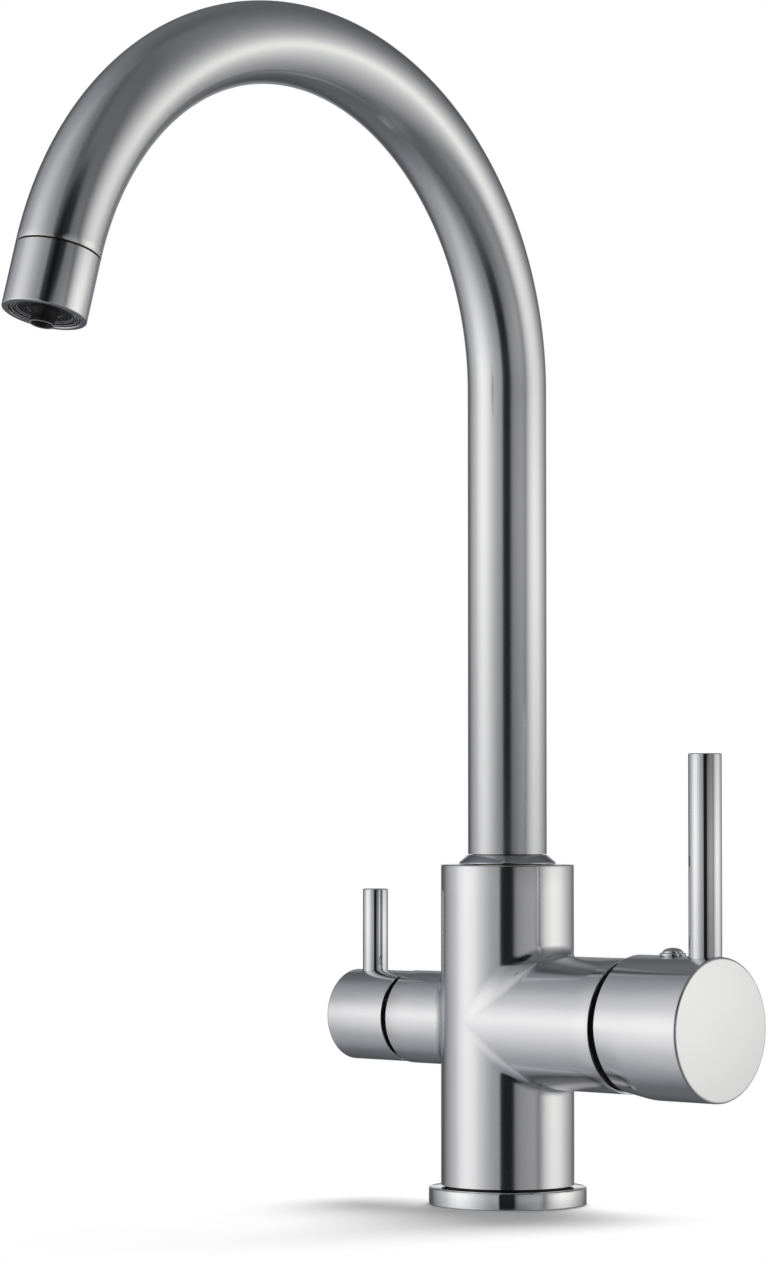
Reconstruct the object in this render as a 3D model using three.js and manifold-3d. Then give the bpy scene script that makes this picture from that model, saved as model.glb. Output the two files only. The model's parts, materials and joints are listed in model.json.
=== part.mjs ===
// A deck mounted three way kitchen tap: one swan neck spout, a mixer lever for hot and cold water on the
// right, and a small lever for filtered water on the left. The filtered water has its own valve, its own
// hose up the spout and its own outlet in the middle of the nozzle.
//
// Millimetres, +Z up. The origin is the middle of the underside, on the deck. The spout points along -Y,
// the mixer lever is on +X and the filter lever on -X.
import * as THREE from 'three';
import { mergeVertices } from 'three/addons/utils/BufferGeometryUtils.js';
import Module from 'manifold-3d';

const wasm = await Module();
wasm.setup();

// ---- Driving dimensions ----
const GAP = 0.3; // clearance between neighbouring pieces
const RUN = 0.6; // extra length of a cutter past the face that it cuts

const BODY_R = 21.1;
const BODY_TOP = 107.2;
const SPIGOT_R = 19.5; // the foot of the body, inside the base ring
const RING_R = 25;
const RING_H = 5.5;

const BRANCH_Z = 57.8; // height of the two lever axes
const MIXER_BOSS_R = 21;
const MIXER_RIM = 51; // distance of the boss's rim from the body's axis
const MIXER_CAP_R = 22.3;
const MIXER_CAP_WALL = 2.2;
const MIXER_CAP_REAR = 54.3;
const MIXER_CAP_FACE = 86.6;
const MIXER_CAP_END = 3.5; // thickness of the cap's flat end
const MIXER_PIVOT = 43; // where the mixer lever tilts
const MIXER_ROD_R = 5.15;
const MIXER_ROD_AT = 80.4;
const MIXER_ROD_TOP = 84.2; // above the lever axis
const INDEX_AT = 67.6; // the grub screw and the plug over it

const FILTER_BOSS_R = 14.9;
const FILTER_RIM = 39.2;
const FILTER_CAP_R = 14.6; // a little less than the boss
const FILTER_CAP_WALL = 2;
const FILTER_CAP_REAR = 41.3;
const FILTER_CAP_FACE = 65.5;
const FILTER_CAP_END = 2.8;
const FILTER_ROD_R = 4.1;
const FILTER_ROD_AT = 57.4;
const FILTER_ROD_TOP = 40.9;

const TUBE_R = 12.5;
const TUBE_BORE_R = 11.2;
const TUBE_BOTTOM = 110.5;
const BEND_R = 99;
const BEND_START = 257.4;
const BEND_ANGLE = THREE.MathUtils.degToRad(163.8);
const BEND_STEPS = 40; // the 22nd of them is the top of the bend
const NOZZLE_L = 19.5;

const FINE = 40; // sides of a large round piece
const ROUND = 24; // sides of a middling one
const SMALL = 16; // sides of a small or hidden one
const TINY = 12; // sides of a narrow hole
const HEX = 6; // flats of a key, a nut or the finest hole

// ---- Materials ----
const finish = (color, roughness, metalness) =>
  new THREE.MeshStandardMaterial({ color, roughness, metalness });
const brushedNickel = finish(0xb9babb, 0.34, 1);
const polishedChrome = finish(0xd6d8da, 0.12, 1);
const rawBrass = finish(0xb5985a, 0.4, 1);
const stainless = finish(0xa9abad, 0.3, 1);
const blackPlastic = finish(0x17181a, 0.45, 0);
const greyPlastic = finish(0x8d9196, 0.5, 0);
const whitePlastic = finish(0xe6e5df, 0.5, 0);
const ceramic = finish(0xf0ede4, 0.25, 0);
const rubber = finish(0x1b1b1c, 0.8, 0);

// ---- Solids: closed geometries that can be joined and cut ----
function solid(geometry) {
  const bare = geometry.clone();
  for (const name of Object.keys(bare.attributes)) {
    if (name !== 'position') bare.deleteAttribute(name);
  }
  const merged = mergeVertices(bare, 1e-4);
  const corners = merged.attributes.position;
  const kept = [];
  let volume = 0;
  const [a, b, c] = [new THREE.Vector3(), new THREE.Vector3(), new THREE.Vector3()];
  for (let i = 0; i < merged.index.count; i += 3) {
    const [p, q, r] = [0, 1, 2].map((k) => merged.index.getX(i + k));
    if (p === q || q === r || r === p) continue;
    kept.push([p, q, r]);
    a.fromBufferAttribute(corners, p);
    b.fromBufferAttribute(corners, q);
    c.fromBufferAttribute(corners, r);
    volume += a.dot(b.cross(c));
  }
  if (volume < 0) kept.forEach((triangle) => triangle.reverse());
  const triVerts = new Uint32Array(kept.flat());
  const made = new wasm.Mesh({ numProp: 3, vertProperties: corners.array, triVerts });
  return new wasm.Manifold(made);
}

// A solid of revolution. The profile is a list of [radius, place along the axis].
function turned(profile, sides, axis = 'z') {
  const points = profile.map(([radius, along]) => new THREE.Vector2(radius, along));
  if (profile[0][0] > 0) points.push(points[0].clone());
  const lathe = new THREE.LatheGeometry(points, sides);
  if (axis === 'z') lathe.rotateX(Math.PI / 2);
  if (axis === 'x') lathe.rotateZ(-Math.PI / 2);
  return solid(lathe);
}

const disc = (radius, low, high, sides, axis) =>
  turned([[0, low], [radius, low], [radius, high], [0, high]], sides, axis);

const ring = (inner, outer, low, high, sides, axis) =>
  turned([[inner, low], [outer, low], [outer, high], [inner, high]], sides, axis);

// A round bar or a drill between two points.
function bar(radius, from, to, sides = SMALL) {
  const [start, end] = [new THREE.Vector3(...from), new THREE.Vector3(...to)];
  const way = end.clone().sub(start);
  const cylinder = new THREE.CylinderGeometry(radius, radius, way.length(), sides);
  const turn = new THREE.Quaternion();
  turn.setFromUnitVectors(new THREE.Vector3(0, 1, 0), way.clone().normalize());
  cylinder.applyQuaternion(turn);
  const middle = start.add(end).multiplyScalar(0.5);
  return solid(cylinder.translate(middle.x, middle.y, middle.z));
}

function block(low, high) {
  const size = high.map((value, i) => value - low[i]);
  const middle = high.map((value, i) => (value + low[i]) / 2);
  return solid(new THREE.BoxGeometry(...size).translate(...middle));
}

const joined = (...solids) => solids.reduce((whole, next) => whole.add(next));
const cut = (whole, ...tools) => tools.reduce((left, tool) => left.subtract(tool), whole);

// ---- Meshes and the groups that place them ----
function piece(name, made, material) {
  const data = made.getMesh();
  const geometry = new THREE.BufferGeometry();
  geometry.setAttribute('position', new THREE.BufferAttribute(data.vertProperties, 3));
  geometry.setIndex(new THREE.BufferAttribute(data.triVerts, 1));
  geometry.computeVertexNormals();
  const mesh = new THREE.Mesh(geometry, material);
  mesh.name = name;
  return mesh;
}

const tap = new THREE.Group();
const mixer = new THREE.Group(); // +X is the mixer lever's axis
mixer.position.z = BRANCH_Z;
const filter = new THREE.Group(); // its own +X points along the tap's -X
filter.position.z = BRANCH_Z;
filter.rotation.z = Math.PI;
const spout = new THREE.Group();
const nozzle = new THREE.Group(); // its own +Z points out of the spout's mouth
nozzle.position.set(0, -BEND_R * (1 - Math.cos(BEND_ANGLE)), BEND_START + BEND_R * Math.sin(BEND_ANGLE));
nozzle.rotation.x = BEND_ANGLE;
spout.add(nozzle);
tap.add(mixer, filter, spout);

// ---- The body: one casting with two bosses, a spout socket and the drilled waterways ----
const PORT = { radius: 4.6, depth: 14 }; // M10 x 1 sockets for the three hose tails
const HOT_COLD = { x: 8.5, y: 7, up: 2.5, radius: 2.8 };
const MIXED = { x: 9, up: -9, radius: 3.2 };
const FILTER_IN = { x: -11.5, radius: 2.4 };
const STUD = { x: -5, y: 12, radius: 2.5, depth: 12 }; // two M6 fixing studs
const CHAMBER = { floor: 14, radius: 17.7, step: 36, nutRadius: 19.2, mouth: 48, mouthRadius: 20.1 };
const VALVE_SEAT = { floor: 16, radius: 8.5, step: 20, threadRadius: 10.5 };
const SOCKET = { floor: 82, radius: 12.5, step: 104.8, mouthRadius: 15.3 };
const FILTER_OUT = { radius: 2, past: 3 }; // slanted way from the filter valve up to the nipple's seat
const NIPPLE_SEAT = { floor: 76, radius: 4.2 };
const RETAINER = { z: 93, holeRadius: 2.6, radius: 2.3, tip: 11.2, head: 20.4 };
const RIM_EDGE = 0.2; // small bevel on the rims of the bosses and the caps

function castingOutside() {
  const topEdge = 0.4;
  const column = turned([
    [0, 0], [SPIGOT_R, 0], [SPIGOT_R, RING_H + GAP], [BODY_R, RING_H + GAP],
    [BODY_R, BODY_TOP - topEdge], [BODY_R - topEdge, BODY_TOP], [0, BODY_TOP],
  ], FINE);
  const boss = (radius, rim) =>
    turned([
      [0, 0], [radius, 0], [radius, rim - RIM_EDGE], [radius - RIM_EDGE, rim], [0, rim],
    ], FINE, 'x');
  const place = (made, turn) => made.rotate([0, 0, turn]).translate([0, 0, BRANCH_Z]);
  const mixerBoss = place(boss(MIXER_BOSS_R, MIXER_RIM), 0);
  const filterBoss = place(boss(FILTER_BOSS_R, FILTER_RIM), 180);
  return joined(column, mixerBoss, filterBoss);
}

function mixerChamber() {
  const { floor, radius, step, nutRadius, mouth, mouthRadius } = CHAMBER;
  const end = MIXER_RIM + RUN;
  return turned([
    [0, floor], [radius, floor], [radius, step], [nutRadius, step],
    [nutRadius, mouth], [mouthRadius, mouth], [mouthRadius, end], [0, end],
  ], ROUND, 'x').translate([0, 0, BRANCH_Z]);
}

function filterChamber() {
  const { floor, radius, step, threadRadius } = VALVE_SEAT;
  const end = FILTER_RIM + RUN;
  return turned([
    [0, floor], [radius, floor], [radius, step], [threadRadius, step], [threadRadius, end], [0, end],
  ], ROUND, 'x').rotate([0, 0, 180]).translate([0, 0, BRANCH_Z]);
}

function spoutSocket() {
  const { floor, radius, step, mouthRadius } = SOCKET;
  const end = BODY_TOP + RUN;
  return turned([
    [0, floor], [radius, floor], [radius, step], [mouthRadius, step], [mouthRadius, end], [0, end],
  ], ROUND);
}

function waterways() {
  const cuts = [];
  const port = (x, y) => bar(PORT.radius, [x, y, -RUN], [x, y, PORT.depth]);
  for (const side of [-1, 1]) {
    const [x, y, z] = [HOT_COLD.x, side * HOT_COLD.y, BRANCH_Z + HOT_COLD.up];
    cuts.push(port(x, y));
    cuts.push(bar(HOT_COLD.radius, [x, y, PORT.depth - RUN], [x, y, z]));
    cuts.push(bar(HOT_COLD.radius, [x, y, z], [CHAMBER.floor + RUN, y, z]));
    cuts.push(bar(STUD.radius, [STUD.x, side * STUD.y, -RUN], [STUD.x, side * STUD.y, STUD.depth]));
  }
  const mixedZ = BRANCH_Z + MIXED.up;
  cuts.push(bar(MIXED.radius, [MIXED.x, 0, mixedZ], [CHAMBER.floor + RUN, 0, mixedZ]));
  cuts.push(bar(MIXED.radius, [MIXED.x, 0, mixedZ], [MIXED.x, 0, SOCKET.floor + RUN]));
  const { x, radius } = FILTER_IN;
  cuts.push(port(x, 0));
  cuts.push(bar(radius, [x, 0, PORT.depth - RUN], [x, 0, BRANCH_Z]));
  cuts.push(bar(radius, [x, 0, BRANCH_Z], [-VALVE_SEAT.floor - RUN, 0, BRANCH_Z]));
  const outletTop = BRANCH_Z + VALVE_SEAT.radius;
  const outletX = -(VALVE_SEAT.floor + VALVE_SEAT.step) / 2;
  const outletEnd = NIPPLE_SEAT.floor + FILTER_OUT.past;
  cuts.push(bar(FILTER_OUT.radius, [outletX, 0, outletTop - RUN], [0, 0, outletEnd]));
  cuts.push(bar(NIPPLE_SEAT.radius, [0, 0, NIPPLE_SEAT.floor], [0, 0, SOCKET.floor + RUN]));
  const { z, holeRadius } = RETAINER;
  cuts.push(bar(holeRadius, [0, SOCKET.radius - RUN, z], [0, BODY_R + RUN, z]));
  return cuts;
}

function bodyCasting() {
  const made = cut(castingOutside(), mixerChamber(), filterChamber(), spoutSocket(), ...waterways());
  tap.add(piece('body_casting', made, brushedNickel));
}

function base() {
  const inner = SPIGOT_R + GAP;
  const groove = { inner: 21.2, outer: 23.6, depth: 2.4 };
  const edge = 0.5;
  const flange = turned([
    [inner, 0], [groove.inner, 0], [groove.inner, groove.depth], [groove.outer, groove.depth],
    [groove.outer, 0], [RING_R, 0], [RING_R, RING_H - edge], [RING_R - edge, RING_H], [inner, RING_H],
  ], FINE);
  tap.add(piece('base_ring', flange, polishedChrome));
  const seal = ring(groove.inner + GAP, groove.outer - GAP, 0, groove.depth - GAP, ROUND);
  tap.add(piece('base_gasket', seal, rubber));
}

const KEY = { radius: 1.3, depth: 3 }; // hexagon socket of the larger grub screws

// The screw in the back of the body that keeps the spout in its socket.
function spoutRetainingScrew() {
  const { z, radius, tip, head } = RETAINER;
  const point = { radius: 1.5, length: 1.2, taper: 0.6 };
  const shoulder = tip + point.length;
  const shank = turned([
    [0, tip], [point.radius, tip], [point.radius, shoulder], [radius, shoulder + point.taper],
    [radius, head], [0, head],
  ], SMALL);
  const key = disc(KEY.radius, head - KEY.depth, head + RUN, HEX);
  const made = cut(shank, key).rotate([-90, 0, 0]).translate([0, 0, z]);
  tap.add(piece('spout_retaining_screw', made, stainless));
}

// The pipe that hands the filtered water on from the body to the hose in the spout.
function filterNipple() {
  const { floor, radius } = NIPPLE_SEAT;
  const [bore, tail, taper, top] = [1.5, 2.2, 0.3, 100];
  const hex = { radius: 5.4, low: SOCKET.floor + GAP, high: SOCKET.floor + 3.3 };
  const stub = turned([
    [bore, floor + GAP], [radius - GAP, floor + GAP], [radius - GAP, hex.high],
    [tail, hex.high], [tail, top - 1], [tail - taper, top], [bore, top],
  ], SMALL);
  const hole = disc(tail, hex.low - RUN, hex.high + RUN, SMALL);
  const nut = cut(disc(hex.radius, hex.low, hex.high, HEX), hole);
  tap.add(piece('filter_nipple', joined(stub, nut), rawBrass));
}

// ---- The mixer side: a ceramic disc cartridge, its nut and bonnet, and the lever ----
const PORTS = [ // the three ways through the seal, the cartridge's base and the fixed disc
  { y: HOT_COLD.y, z: HOT_COLD.up, radius: HOT_COLD.radius },
  { y: -HOT_COLD.y, z: HOT_COLD.up, radius: HOT_COLD.radius },
  { y: 0, z: MIXED.up, radius: MIXED.radius },
];
const SHELL = { outer: 17.3, inner: 15.3, start: 20.3, shoulder: 38, neck: 14.8, end: 45, lip: 12.9 };
const STACK = { sealRadius: 16.8, sealEnd: 15.8, discRadius: 13.4 };
const CARRIER = { radius: 15, start: 31.8, step: 40.9, neck: 12.6, end: 46.5 };
const STEM = { half: 3.5, ball: 3, ballAt: 30.9, neck: 2.2, square: 34.6, end: 74.6 };
const PIN_R = 1.5; // the pin that the stem tilts on
const DISC_REST = -2; // the moving disc lies this far below the axis when the lever is shut
const MOVING = { low: 23.6, high: 26.4, radius: 11.2 };
const POCKET = { z: -2.5, radius: 5.4, tailZ: -7.7, tailRadius: 3.2, depth: 1.4 };
const SLIDER = { low: 26.7, high: 31.5, radius: 10.8, floor: 0.9, play: 0.4 };

function portedPlate(name, radius, low, high, material) {
  const holes = PORTS.map((port) =>
    bar(port.radius, [low - RUN, port.y, port.z], [high + RUN, port.y, port.z]));
  mixer.add(piece(name, cut(disc(radius, low, high, ROUND, 'x'), ...holes), material));
}

function cartridgeShell() {
  const { outer, inner, start, shoulder, neck, end, lip } = SHELL;
  const made = turned([
    [inner, start], [outer, start], [outer, shoulder], [neck, shoulder], [neck, end],
    [lip, end], [lip, CARRIER.step + GAP], [inner, CARRIER.step + GAP],
  ], ROUND, 'x');
  mixer.add(piece('cartridge_shell', made, greyPlastic));
}

function cartridgeNut() {
  const [low, high] = [SHELL.shoulder + GAP, CHAMBER.mouth - 0.5];
  const body = ring(SHELL.neck + GAP, CHAMBER.nutRadius - GAP, low, high, ROUND, 'x');
  const notch = { depth: 2, half: 2, reach: CHAMBER.nutRadius };
  const notches = [0, 60, 120].map((turn) =>
    block([high - notch.depth, -notch.reach, -notch.half], [high + RUN, notch.reach, notch.half])
      .rotate([turn, 0, 0]));
  mixer.add(piece('cartridge_nut', cut(body, ...notches), rawBrass));
}

// A dome about the lever's pivot, so that the cap swings over it at an even gap.
function bonnet() {
  const [outer, inner, opening, steps] = [19.2, 17.8, 12.3, 4];
  const base = { low: CHAMBER.mouth + GAP, high: MIXER_RIM - 0.8, radius: CHAMBER.mouthRadius - GAP };
  const arc = (radius, from, to) => {
    const angle = (x) => Math.acos((x - MIXER_PIVOT) / radius);
    return Array.from({ length: steps + 1 }, (_, i) => {
      const turn = angle(from) + (i / steps) * (angle(to) - angle(from));
      return [radius * Math.sin(turn), MIXER_PIVOT + radius * Math.cos(turn)];
    });
  };
  const openingX = (radius) => MIXER_PIVOT + Math.sqrt(radius ** 2 - opening ** 2);
  const profile = [
    [base.radius, base.low], [base.radius, base.high],
    ...arc(outer, base.high, openingX(outer)), ...arc(inner, openingX(inner), base.low),
  ];
  mixer.add(piece('mixer_bonnet', turned(profile, FINE, 'x'), blackPlastic));
}

function carrier() {
  const { radius, start, step, neck, end } = CARRIER;
  const whole = turned([
    [0, start], [radius, start], [radius, step], [neck, step], [neck, end], [0, end],
  ], ROUND, 'x');
  const slot = { half: STEM.half + 0.4, low: -6, high: 8.3 }; // room for the stem's tilt
  const opening = block([start - RUN, -slot.half, slot.low], [end + RUN, slot.half, slot.high]);
  const hole = bar(PIN_R + GAP, [MIXER_PIVOT, -neck - RUN, 0], [MIXER_PIVOT, neck + RUN, 0]);
  mixer.add(piece('cartridge_carrier', cut(whole, opening, hole), whitePlastic));
  const reach = neck - GAP;
  const axle = bar(PIN_R, [MIXER_PIVOT, -reach, 0], [MIXER_PIVOT, reach, 0]);
  mixer.add(piece('lever_pivot_pin', axle, stainless));
}

// The moving disc has a pocket that joins the ports. Shut, the pocket reaches only the outlet.
function movingDisc() {
  const { z, radius, tailZ, tailRadius, depth } = POCKET;
  const [start, floor] = [MOVING.low - RUN, MOVING.low + depth];
  const plate = bar(MOVING.radius, [MOVING.low, 0, DISC_REST], [MOVING.high, 0, DISC_REST], ROUND);
  const pocket = bar(radius, [start, 0, z], [floor, 0, z]);
  const tail = bar(tailRadius, [start, 0, tailZ], [floor, 0, tailZ]);
  mixer.add(piece('mixer_moving_disc', cut(plate, pocket, tail), ceramic));
  const slider = bar(SLIDER.radius, [SLIDER.low, 0, DISC_REST], [SLIDER.high, 0, DISC_REST], ROUND);
  const seat = [SLIDER.low + SLIDER.floor, 0, 0];
  const socket = bar(STEM.ball + SLIDER.play, seat, [SLIDER.high + RUN, 0, 0]);
  mixer.add(piece('disc_slider', cut(slider, socket), greyPlastic));
}

function leverStem() {
  const { half, ball, ballAt, neck, square, end } = STEM;
  const knob = solid(new THREE.SphereGeometry(ball, SMALL, TINY).translate(ballAt, 0, 0));
  const waist = bar(neck, [ballAt, 0, 0], [square + RUN, 0, 0]);
  const shank = block([square, -half, -half], [end, half, half]);
  const hole = bar(PIN_R + GAP, [MIXER_PIVOT, -half - RUN, 0], [MIXER_PIVOT, half + RUN, 0]);
  mixer.add(piece('lever_stem', cut(joined(knob, waist, shank), hole), rawBrass));
}

// The cap over the cartridge. Its skirt swings under the boss as the lever tilts. Low at the back it is
// turned down at a slant, so that it thins towards its rim.
const RELIEF = { from: 63, slope: THREE.MathUtils.degToRad(10) };
const MIXER_SEAT = 20.6; // flat seat of the lever rod, above the axis
const MIXER_HUB = { radius: 8, start: 64 };
const MIXER_POST = { radius: 5, foot: 12 }; // thickening under the lever rod
const MIXER_THREAD = { radius: 2.8, end: 12.8 };
const INDEX_SEAT = 21.6; // flat seat of the index plug
const INDEX = { stem: 2.6, foot: 17, heel: 3.7, radius: 4.1, low: 0.6, high: 1.1 };
const INDEX_DOME = [[3.5, 1.6], [1.75, 2.55], [0, 2.8]]; // radius and height of the plug's rounded top
const MIXER_GRUB = { radius: 2.5, low: STEM.half + GAP, high: 9.8 };

// A cup with a small bevel on its open rim and a larger one round its flat end.
function cupProfile(outer, inner, rear, inside, face) {
  const bevel = 0.9;
  return [
    [0, inside], [inner, inside], [inner, rear], [outer - RIM_EDGE, rear], [outer, rear + RIM_EDGE],
    [outer, face - bevel], [outer - 0.3 * bevel, face - 0.3 * bevel], [outer - bevel, face], [0, face],
  ];
}

function mixerCap() {
  const [rear, face, outer] = [MIXER_CAP_REAR, MIXER_CAP_FACE, MIXER_CAP_R];
  const inner = outer - MIXER_CAP_WALL;
  const inside = face - MIXER_CAP_END;
  const shell = turned(cupProfile(outer, inner, rear, inside, face), FINE, 'x');
  const hub = disc(MIXER_HUB.radius, MIXER_HUB.start, inside + RUN, ROUND, 'x');
  const postEnd = inner + RUN;
  const post = bar(MIXER_POST.radius, [MIXER_ROD_AT, 0, MIXER_POST.foot], [MIXER_ROD_AT, 0, postEnd]);
  const hold = STEM.half + GAP;
  const axisAt = (x) => [x, 0, (RELIEF.from - x) * Math.tan(RELIEF.slope)];
  const kept = bar(outer, axisAt(rear - outer), axisAt(RELIEF.from + outer), FINE);
  const reach = outer + RUN;
  const relief = cut(block([rear - RUN, -reach, -reach], [RELIEF.from, reach, 0]), kept);
  const top = outer + RUN;
  const made = cut(
    joined(shell, hub, post),
    relief,
    block([MIXER_HUB.start - RUN, -hold, -hold], [STEM.end + GAP, hold, hold]),
    bar(MIXER_ROD_R + GAP, [MIXER_ROD_AT, 0, MIXER_SEAT], [MIXER_ROD_AT, 0, top], ROUND),
    bar(MIXER_THREAD.radius + GAP, [MIXER_ROD_AT, 0, MIXER_THREAD.end - GAP], [MIXER_ROD_AT, 0, top]),
    bar(INDEX.radius + GAP, [INDEX_AT, 0, INDEX_SEAT], [INDEX_AT, 0, top], ROUND),
    bar(INDEX.stem + GAP, [INDEX_AT, 0, 0], [INDEX_AT, 0, top]),
  );
  mixer.add(piece('mixer_cap', made, brushedNickel));
}

// A lever rod: a plain bar with a threaded end that screws into its cap.
function rod(radius, seat, top, thread) {
  const edge = 0.4;
  return turned([
    [0, thread.end], [thread.radius, thread.end], [thread.radius, seat + GAP], [radius, seat + GAP],
    [radius, top - edge], [radius - edge, top], [0, top],
  ], ROUND);
}

function mixerFittings() {
  const lever = rod(MIXER_ROD_R, MIXER_SEAT, MIXER_ROD_TOP, MIXER_THREAD);
  const placed = lever.translate([MIXER_ROD_AT, 0, 0]);
  mixer.add(piece('mixer_lever_rod', placed, brushedNickel));
  const { radius, low, high } = MIXER_GRUB;
  const key = disc(KEY.radius, high - KEY.depth, high + RUN, HEX);
  const screw = cut(disc(radius, low, high, SMALL), key);
  mixer.add(piece('mixer_grub_screw', screw.translate([INDEX_AT, 0, 0]), stainless));
  const base = INDEX_SEAT + GAP;
  const { stem, foot, heel } = INDEX;
  const plug = turned([
    [0, foot], [stem, foot], [stem, base], [heel, base], [INDEX.radius, base + INDEX.low],
    [INDEX.radius, base + INDEX.high], ...INDEX_DOME.map(([across, up]) => [across, base + up]),
  ], SMALL);
  mixer.add(piece('mixer_index_plug', plug.translate([INDEX_AT, 0, 0]), polishedChrome));
}

// ---- The filter side: a quarter turn valve and its lever ----
const SPINDLE = { start: 24, foot: 8, shoulder: 26.6, radius: 4, ring: 36, clip: 48.8, end: 56.7 };
const GROOVE = { ringRadius: 2.6, ringHalf: 0.9, clipRadius: 3.2, clipHalf: 0.7 };
const SEAT_SEAL = { bore: 4, end: 18.3 };
const FILTER_DISCS = {
  filter_fixed_disc: { radius: 8, low: 18.6, high: 20.9 },
  filter_moving_disc: { radius: 8.2, low: 21.2, high: 23.6 },
};
const DISC_WAYS = { radius: 1.8, at: 4 }; // two holes through each disc
const HEADWORK = { start: 21.2, bore: 8.6, ledge: 27, neck: 7, end: 48, hexEnd: 42.5, hexRadius: 12 };

function filterValve() {
  const { bore, end } = SEAT_SEAL;
  const seal = ring(bore, VALVE_SEAT.radius - GAP, VALVE_SEAT.floor + GAP, end, SMALL, 'x');
  filter.add(piece('filter_seat_seal', seal, rubber));
  for (const [name, { radius, low, high }] of Object.entries(FILTER_DISCS)) {
    const ways = [-DISC_WAYS.at, DISC_WAYS.at].map((z) =>
      bar(DISC_WAYS.radius, [low - RUN, 0, z], [high + RUN, 0, z], TINY));
    filter.add(piece(name, cut(disc(radius, low, high, SMALL, 'x'), ...ways), ceramic));
  }
}

function filterHeadwork() {
  const { start, bore, ledge, neck, end, hexEnd, hexRadius } = HEADWORK;
  const thread = VALVE_SEAT.threadRadius - GAP;
  const hold = SPINDLE.radius + GAP;
  const hexStart = FILTER_RIM + GAP;
  const bush = turned([
    [bore, start], [thread, start], [thread, hexEnd], [neck, hexEnd], [neck, end], [hold, end],
    [hold, ledge], [bore, ledge],
  ], ROUND, 'x');
  const collar = ring(neck, hexRadius, hexStart, hexEnd, HEX, 'x');
  filter.add(piece('filter_headwork', joined(bush, collar), rawBrass));
}

function filterSpindle() {
  const { start, foot, shoulder, radius, ring: seat, clip, end } = SPINDLE;
  const { ringRadius, ringHalf, clipRadius, clipHalf } = GROOVE;
  const groove = (middle, half, depth) =>
    [[radius, middle - half], [depth, middle - half], [depth, middle + half], [radius, middle + half]];
  const shaft = turned([
    [0, start], [foot, start], [foot, shoulder], [radius, shoulder],
    ...groove(seat, ringHalf, ringRadius), ...groove(clip, clipHalf, clipRadius),
    [radius, end], [0, end],
  ], SMALL, 'x');
  filter.add(piece('filter_spindle', shaft, stainless));
  const seal = ring(ringRadius + GAP, radius, seat - ringHalf + GAP, seat + ringHalf - GAP, SMALL, 'x');
  filter.add(piece('filter_spindle_seal', seal, rubber));
  const spring = { outer: 6, half: clipHalf - GAP, mouth: 2.6 };
  const loop = ring(clipRadius + GAP, spring.outer, clip - spring.half, clip + spring.half, SMALL, 'x');
  const mouth = block([clip - 1, -spring.outer - RUN, -spring.mouth], [clip + 1, 0, spring.mouth]);
  filter.add(piece('filter_spindle_clip', cut(loop, mouth), stainless));
}

const FILTER_SEAT = 13.6; // flat seat of the small lever rod, above the axis
const FILTER_HUB = { radius: 7.5, start: 50.5 };
const FILTER_POST = { radius: 4.3, foot: 5 };
const FILTER_THREAD = { radius: 2.5, end: 8.3 };
const FILTER_GRUB = { at: 53.5, radius: 1.8, end: 9.4, keyRadius: 0.9, keyDepth: 2.4 };

function filterCap() {
  const [rear, face, outer] = [FILTER_CAP_REAR, FILTER_CAP_FACE, FILTER_CAP_R];
  const inner = outer - FILTER_CAP_WALL;
  const inside = face - FILTER_CAP_END;
  const shell = turned(cupProfile(outer, inner, rear, inside, face), FINE, 'x');
  const hub = disc(FILTER_HUB.radius, FILTER_HUB.start, inside + RUN, ROUND, 'x');
  const postEnd = inner + RUN;
  const post = bar(FILTER_POST.radius, [FILTER_ROD_AT, 0, FILTER_POST.foot], [FILTER_ROD_AT, 0, postEnd]);
  const top = outer + RUN;
  const made = cut(
    joined(shell, hub, post),
    disc(SPINDLE.radius + GAP, FILTER_HUB.start - RUN, SPINDLE.end + GAP, SMALL, 'x'),
    bar(FILTER_ROD_R + GAP, [FILTER_ROD_AT, 0, FILTER_SEAT], [FILTER_ROD_AT, 0, top], ROUND),
    bar(FILTER_THREAD.radius + GAP, [FILTER_ROD_AT, 0, FILTER_THREAD.end - GAP], [FILTER_ROD_AT, 0, top]),
    bar(FILTER_GRUB.radius + GAP, [FILTER_GRUB.at, 0, 0], [FILTER_GRUB.at, 0, -top]),
  );
  filter.add(piece('filter_cap', made, brushedNickel));
}

function filterFittings() {
  const lever = rod(FILTER_ROD_R, FILTER_SEAT, FILTER_ROD_TOP, FILTER_THREAD);
  const placed = lever.translate([FILTER_ROD_AT, 0, 0]);
  filter.add(piece('filter_lever_rod', placed, brushedNickel));
  const { at, radius, end, keyRadius, keyDepth } = FILTER_GRUB;
  const key = disc(keyRadius, -end - RUN, keyDepth - end, HEX);
  const screw = cut(disc(radius, -end, -SPINDLE.radius - GAP, SMALL), key);
  filter.add(piece('filter_grub_screw', screw.translate([at, 0, 0]), stainless));
}

// ---- The spout ----
// The swan neck's centreline: up from startZ, round the bend, and straight on past its end.
class SwanNeck extends THREE.Curve {
  constructor(startZ, past) {
    super();
    this.startZ = startZ;
    this.past = past;
    this.steps = BEND_STEPS + (past > 0 ? 2 : 1);
  }
  turnAt(t) {
    return THREE.MathUtils.clamp((t * this.steps - 1) / BEND_STEPS, 0, 1) * BEND_ANGLE;
  }
  getPoint(t, target = new THREE.Vector3()) {
    const step = t * this.steps;
    const turn = this.turnAt(t);
    target.set(0, -BEND_R * (1 - Math.cos(turn)), BEND_START + BEND_R * Math.sin(turn));
    if (step < 1) target.z = this.startZ + step * (BEND_START - this.startZ);
    const on = this.past * Math.max(step - 1 - BEND_STEPS, 0);
    return target.addScaledVector(this.getTangent(t), on);
  }
  getTangent(t, target = new THREE.Vector3()) {
    const turn = this.turnAt(t);
    return target.set(0, -Math.sin(turn), Math.cos(turn));
  }
  getUtoTmapping(u) {
    return u; // one step for each straight, and even steps round the bend
  }
}

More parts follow.
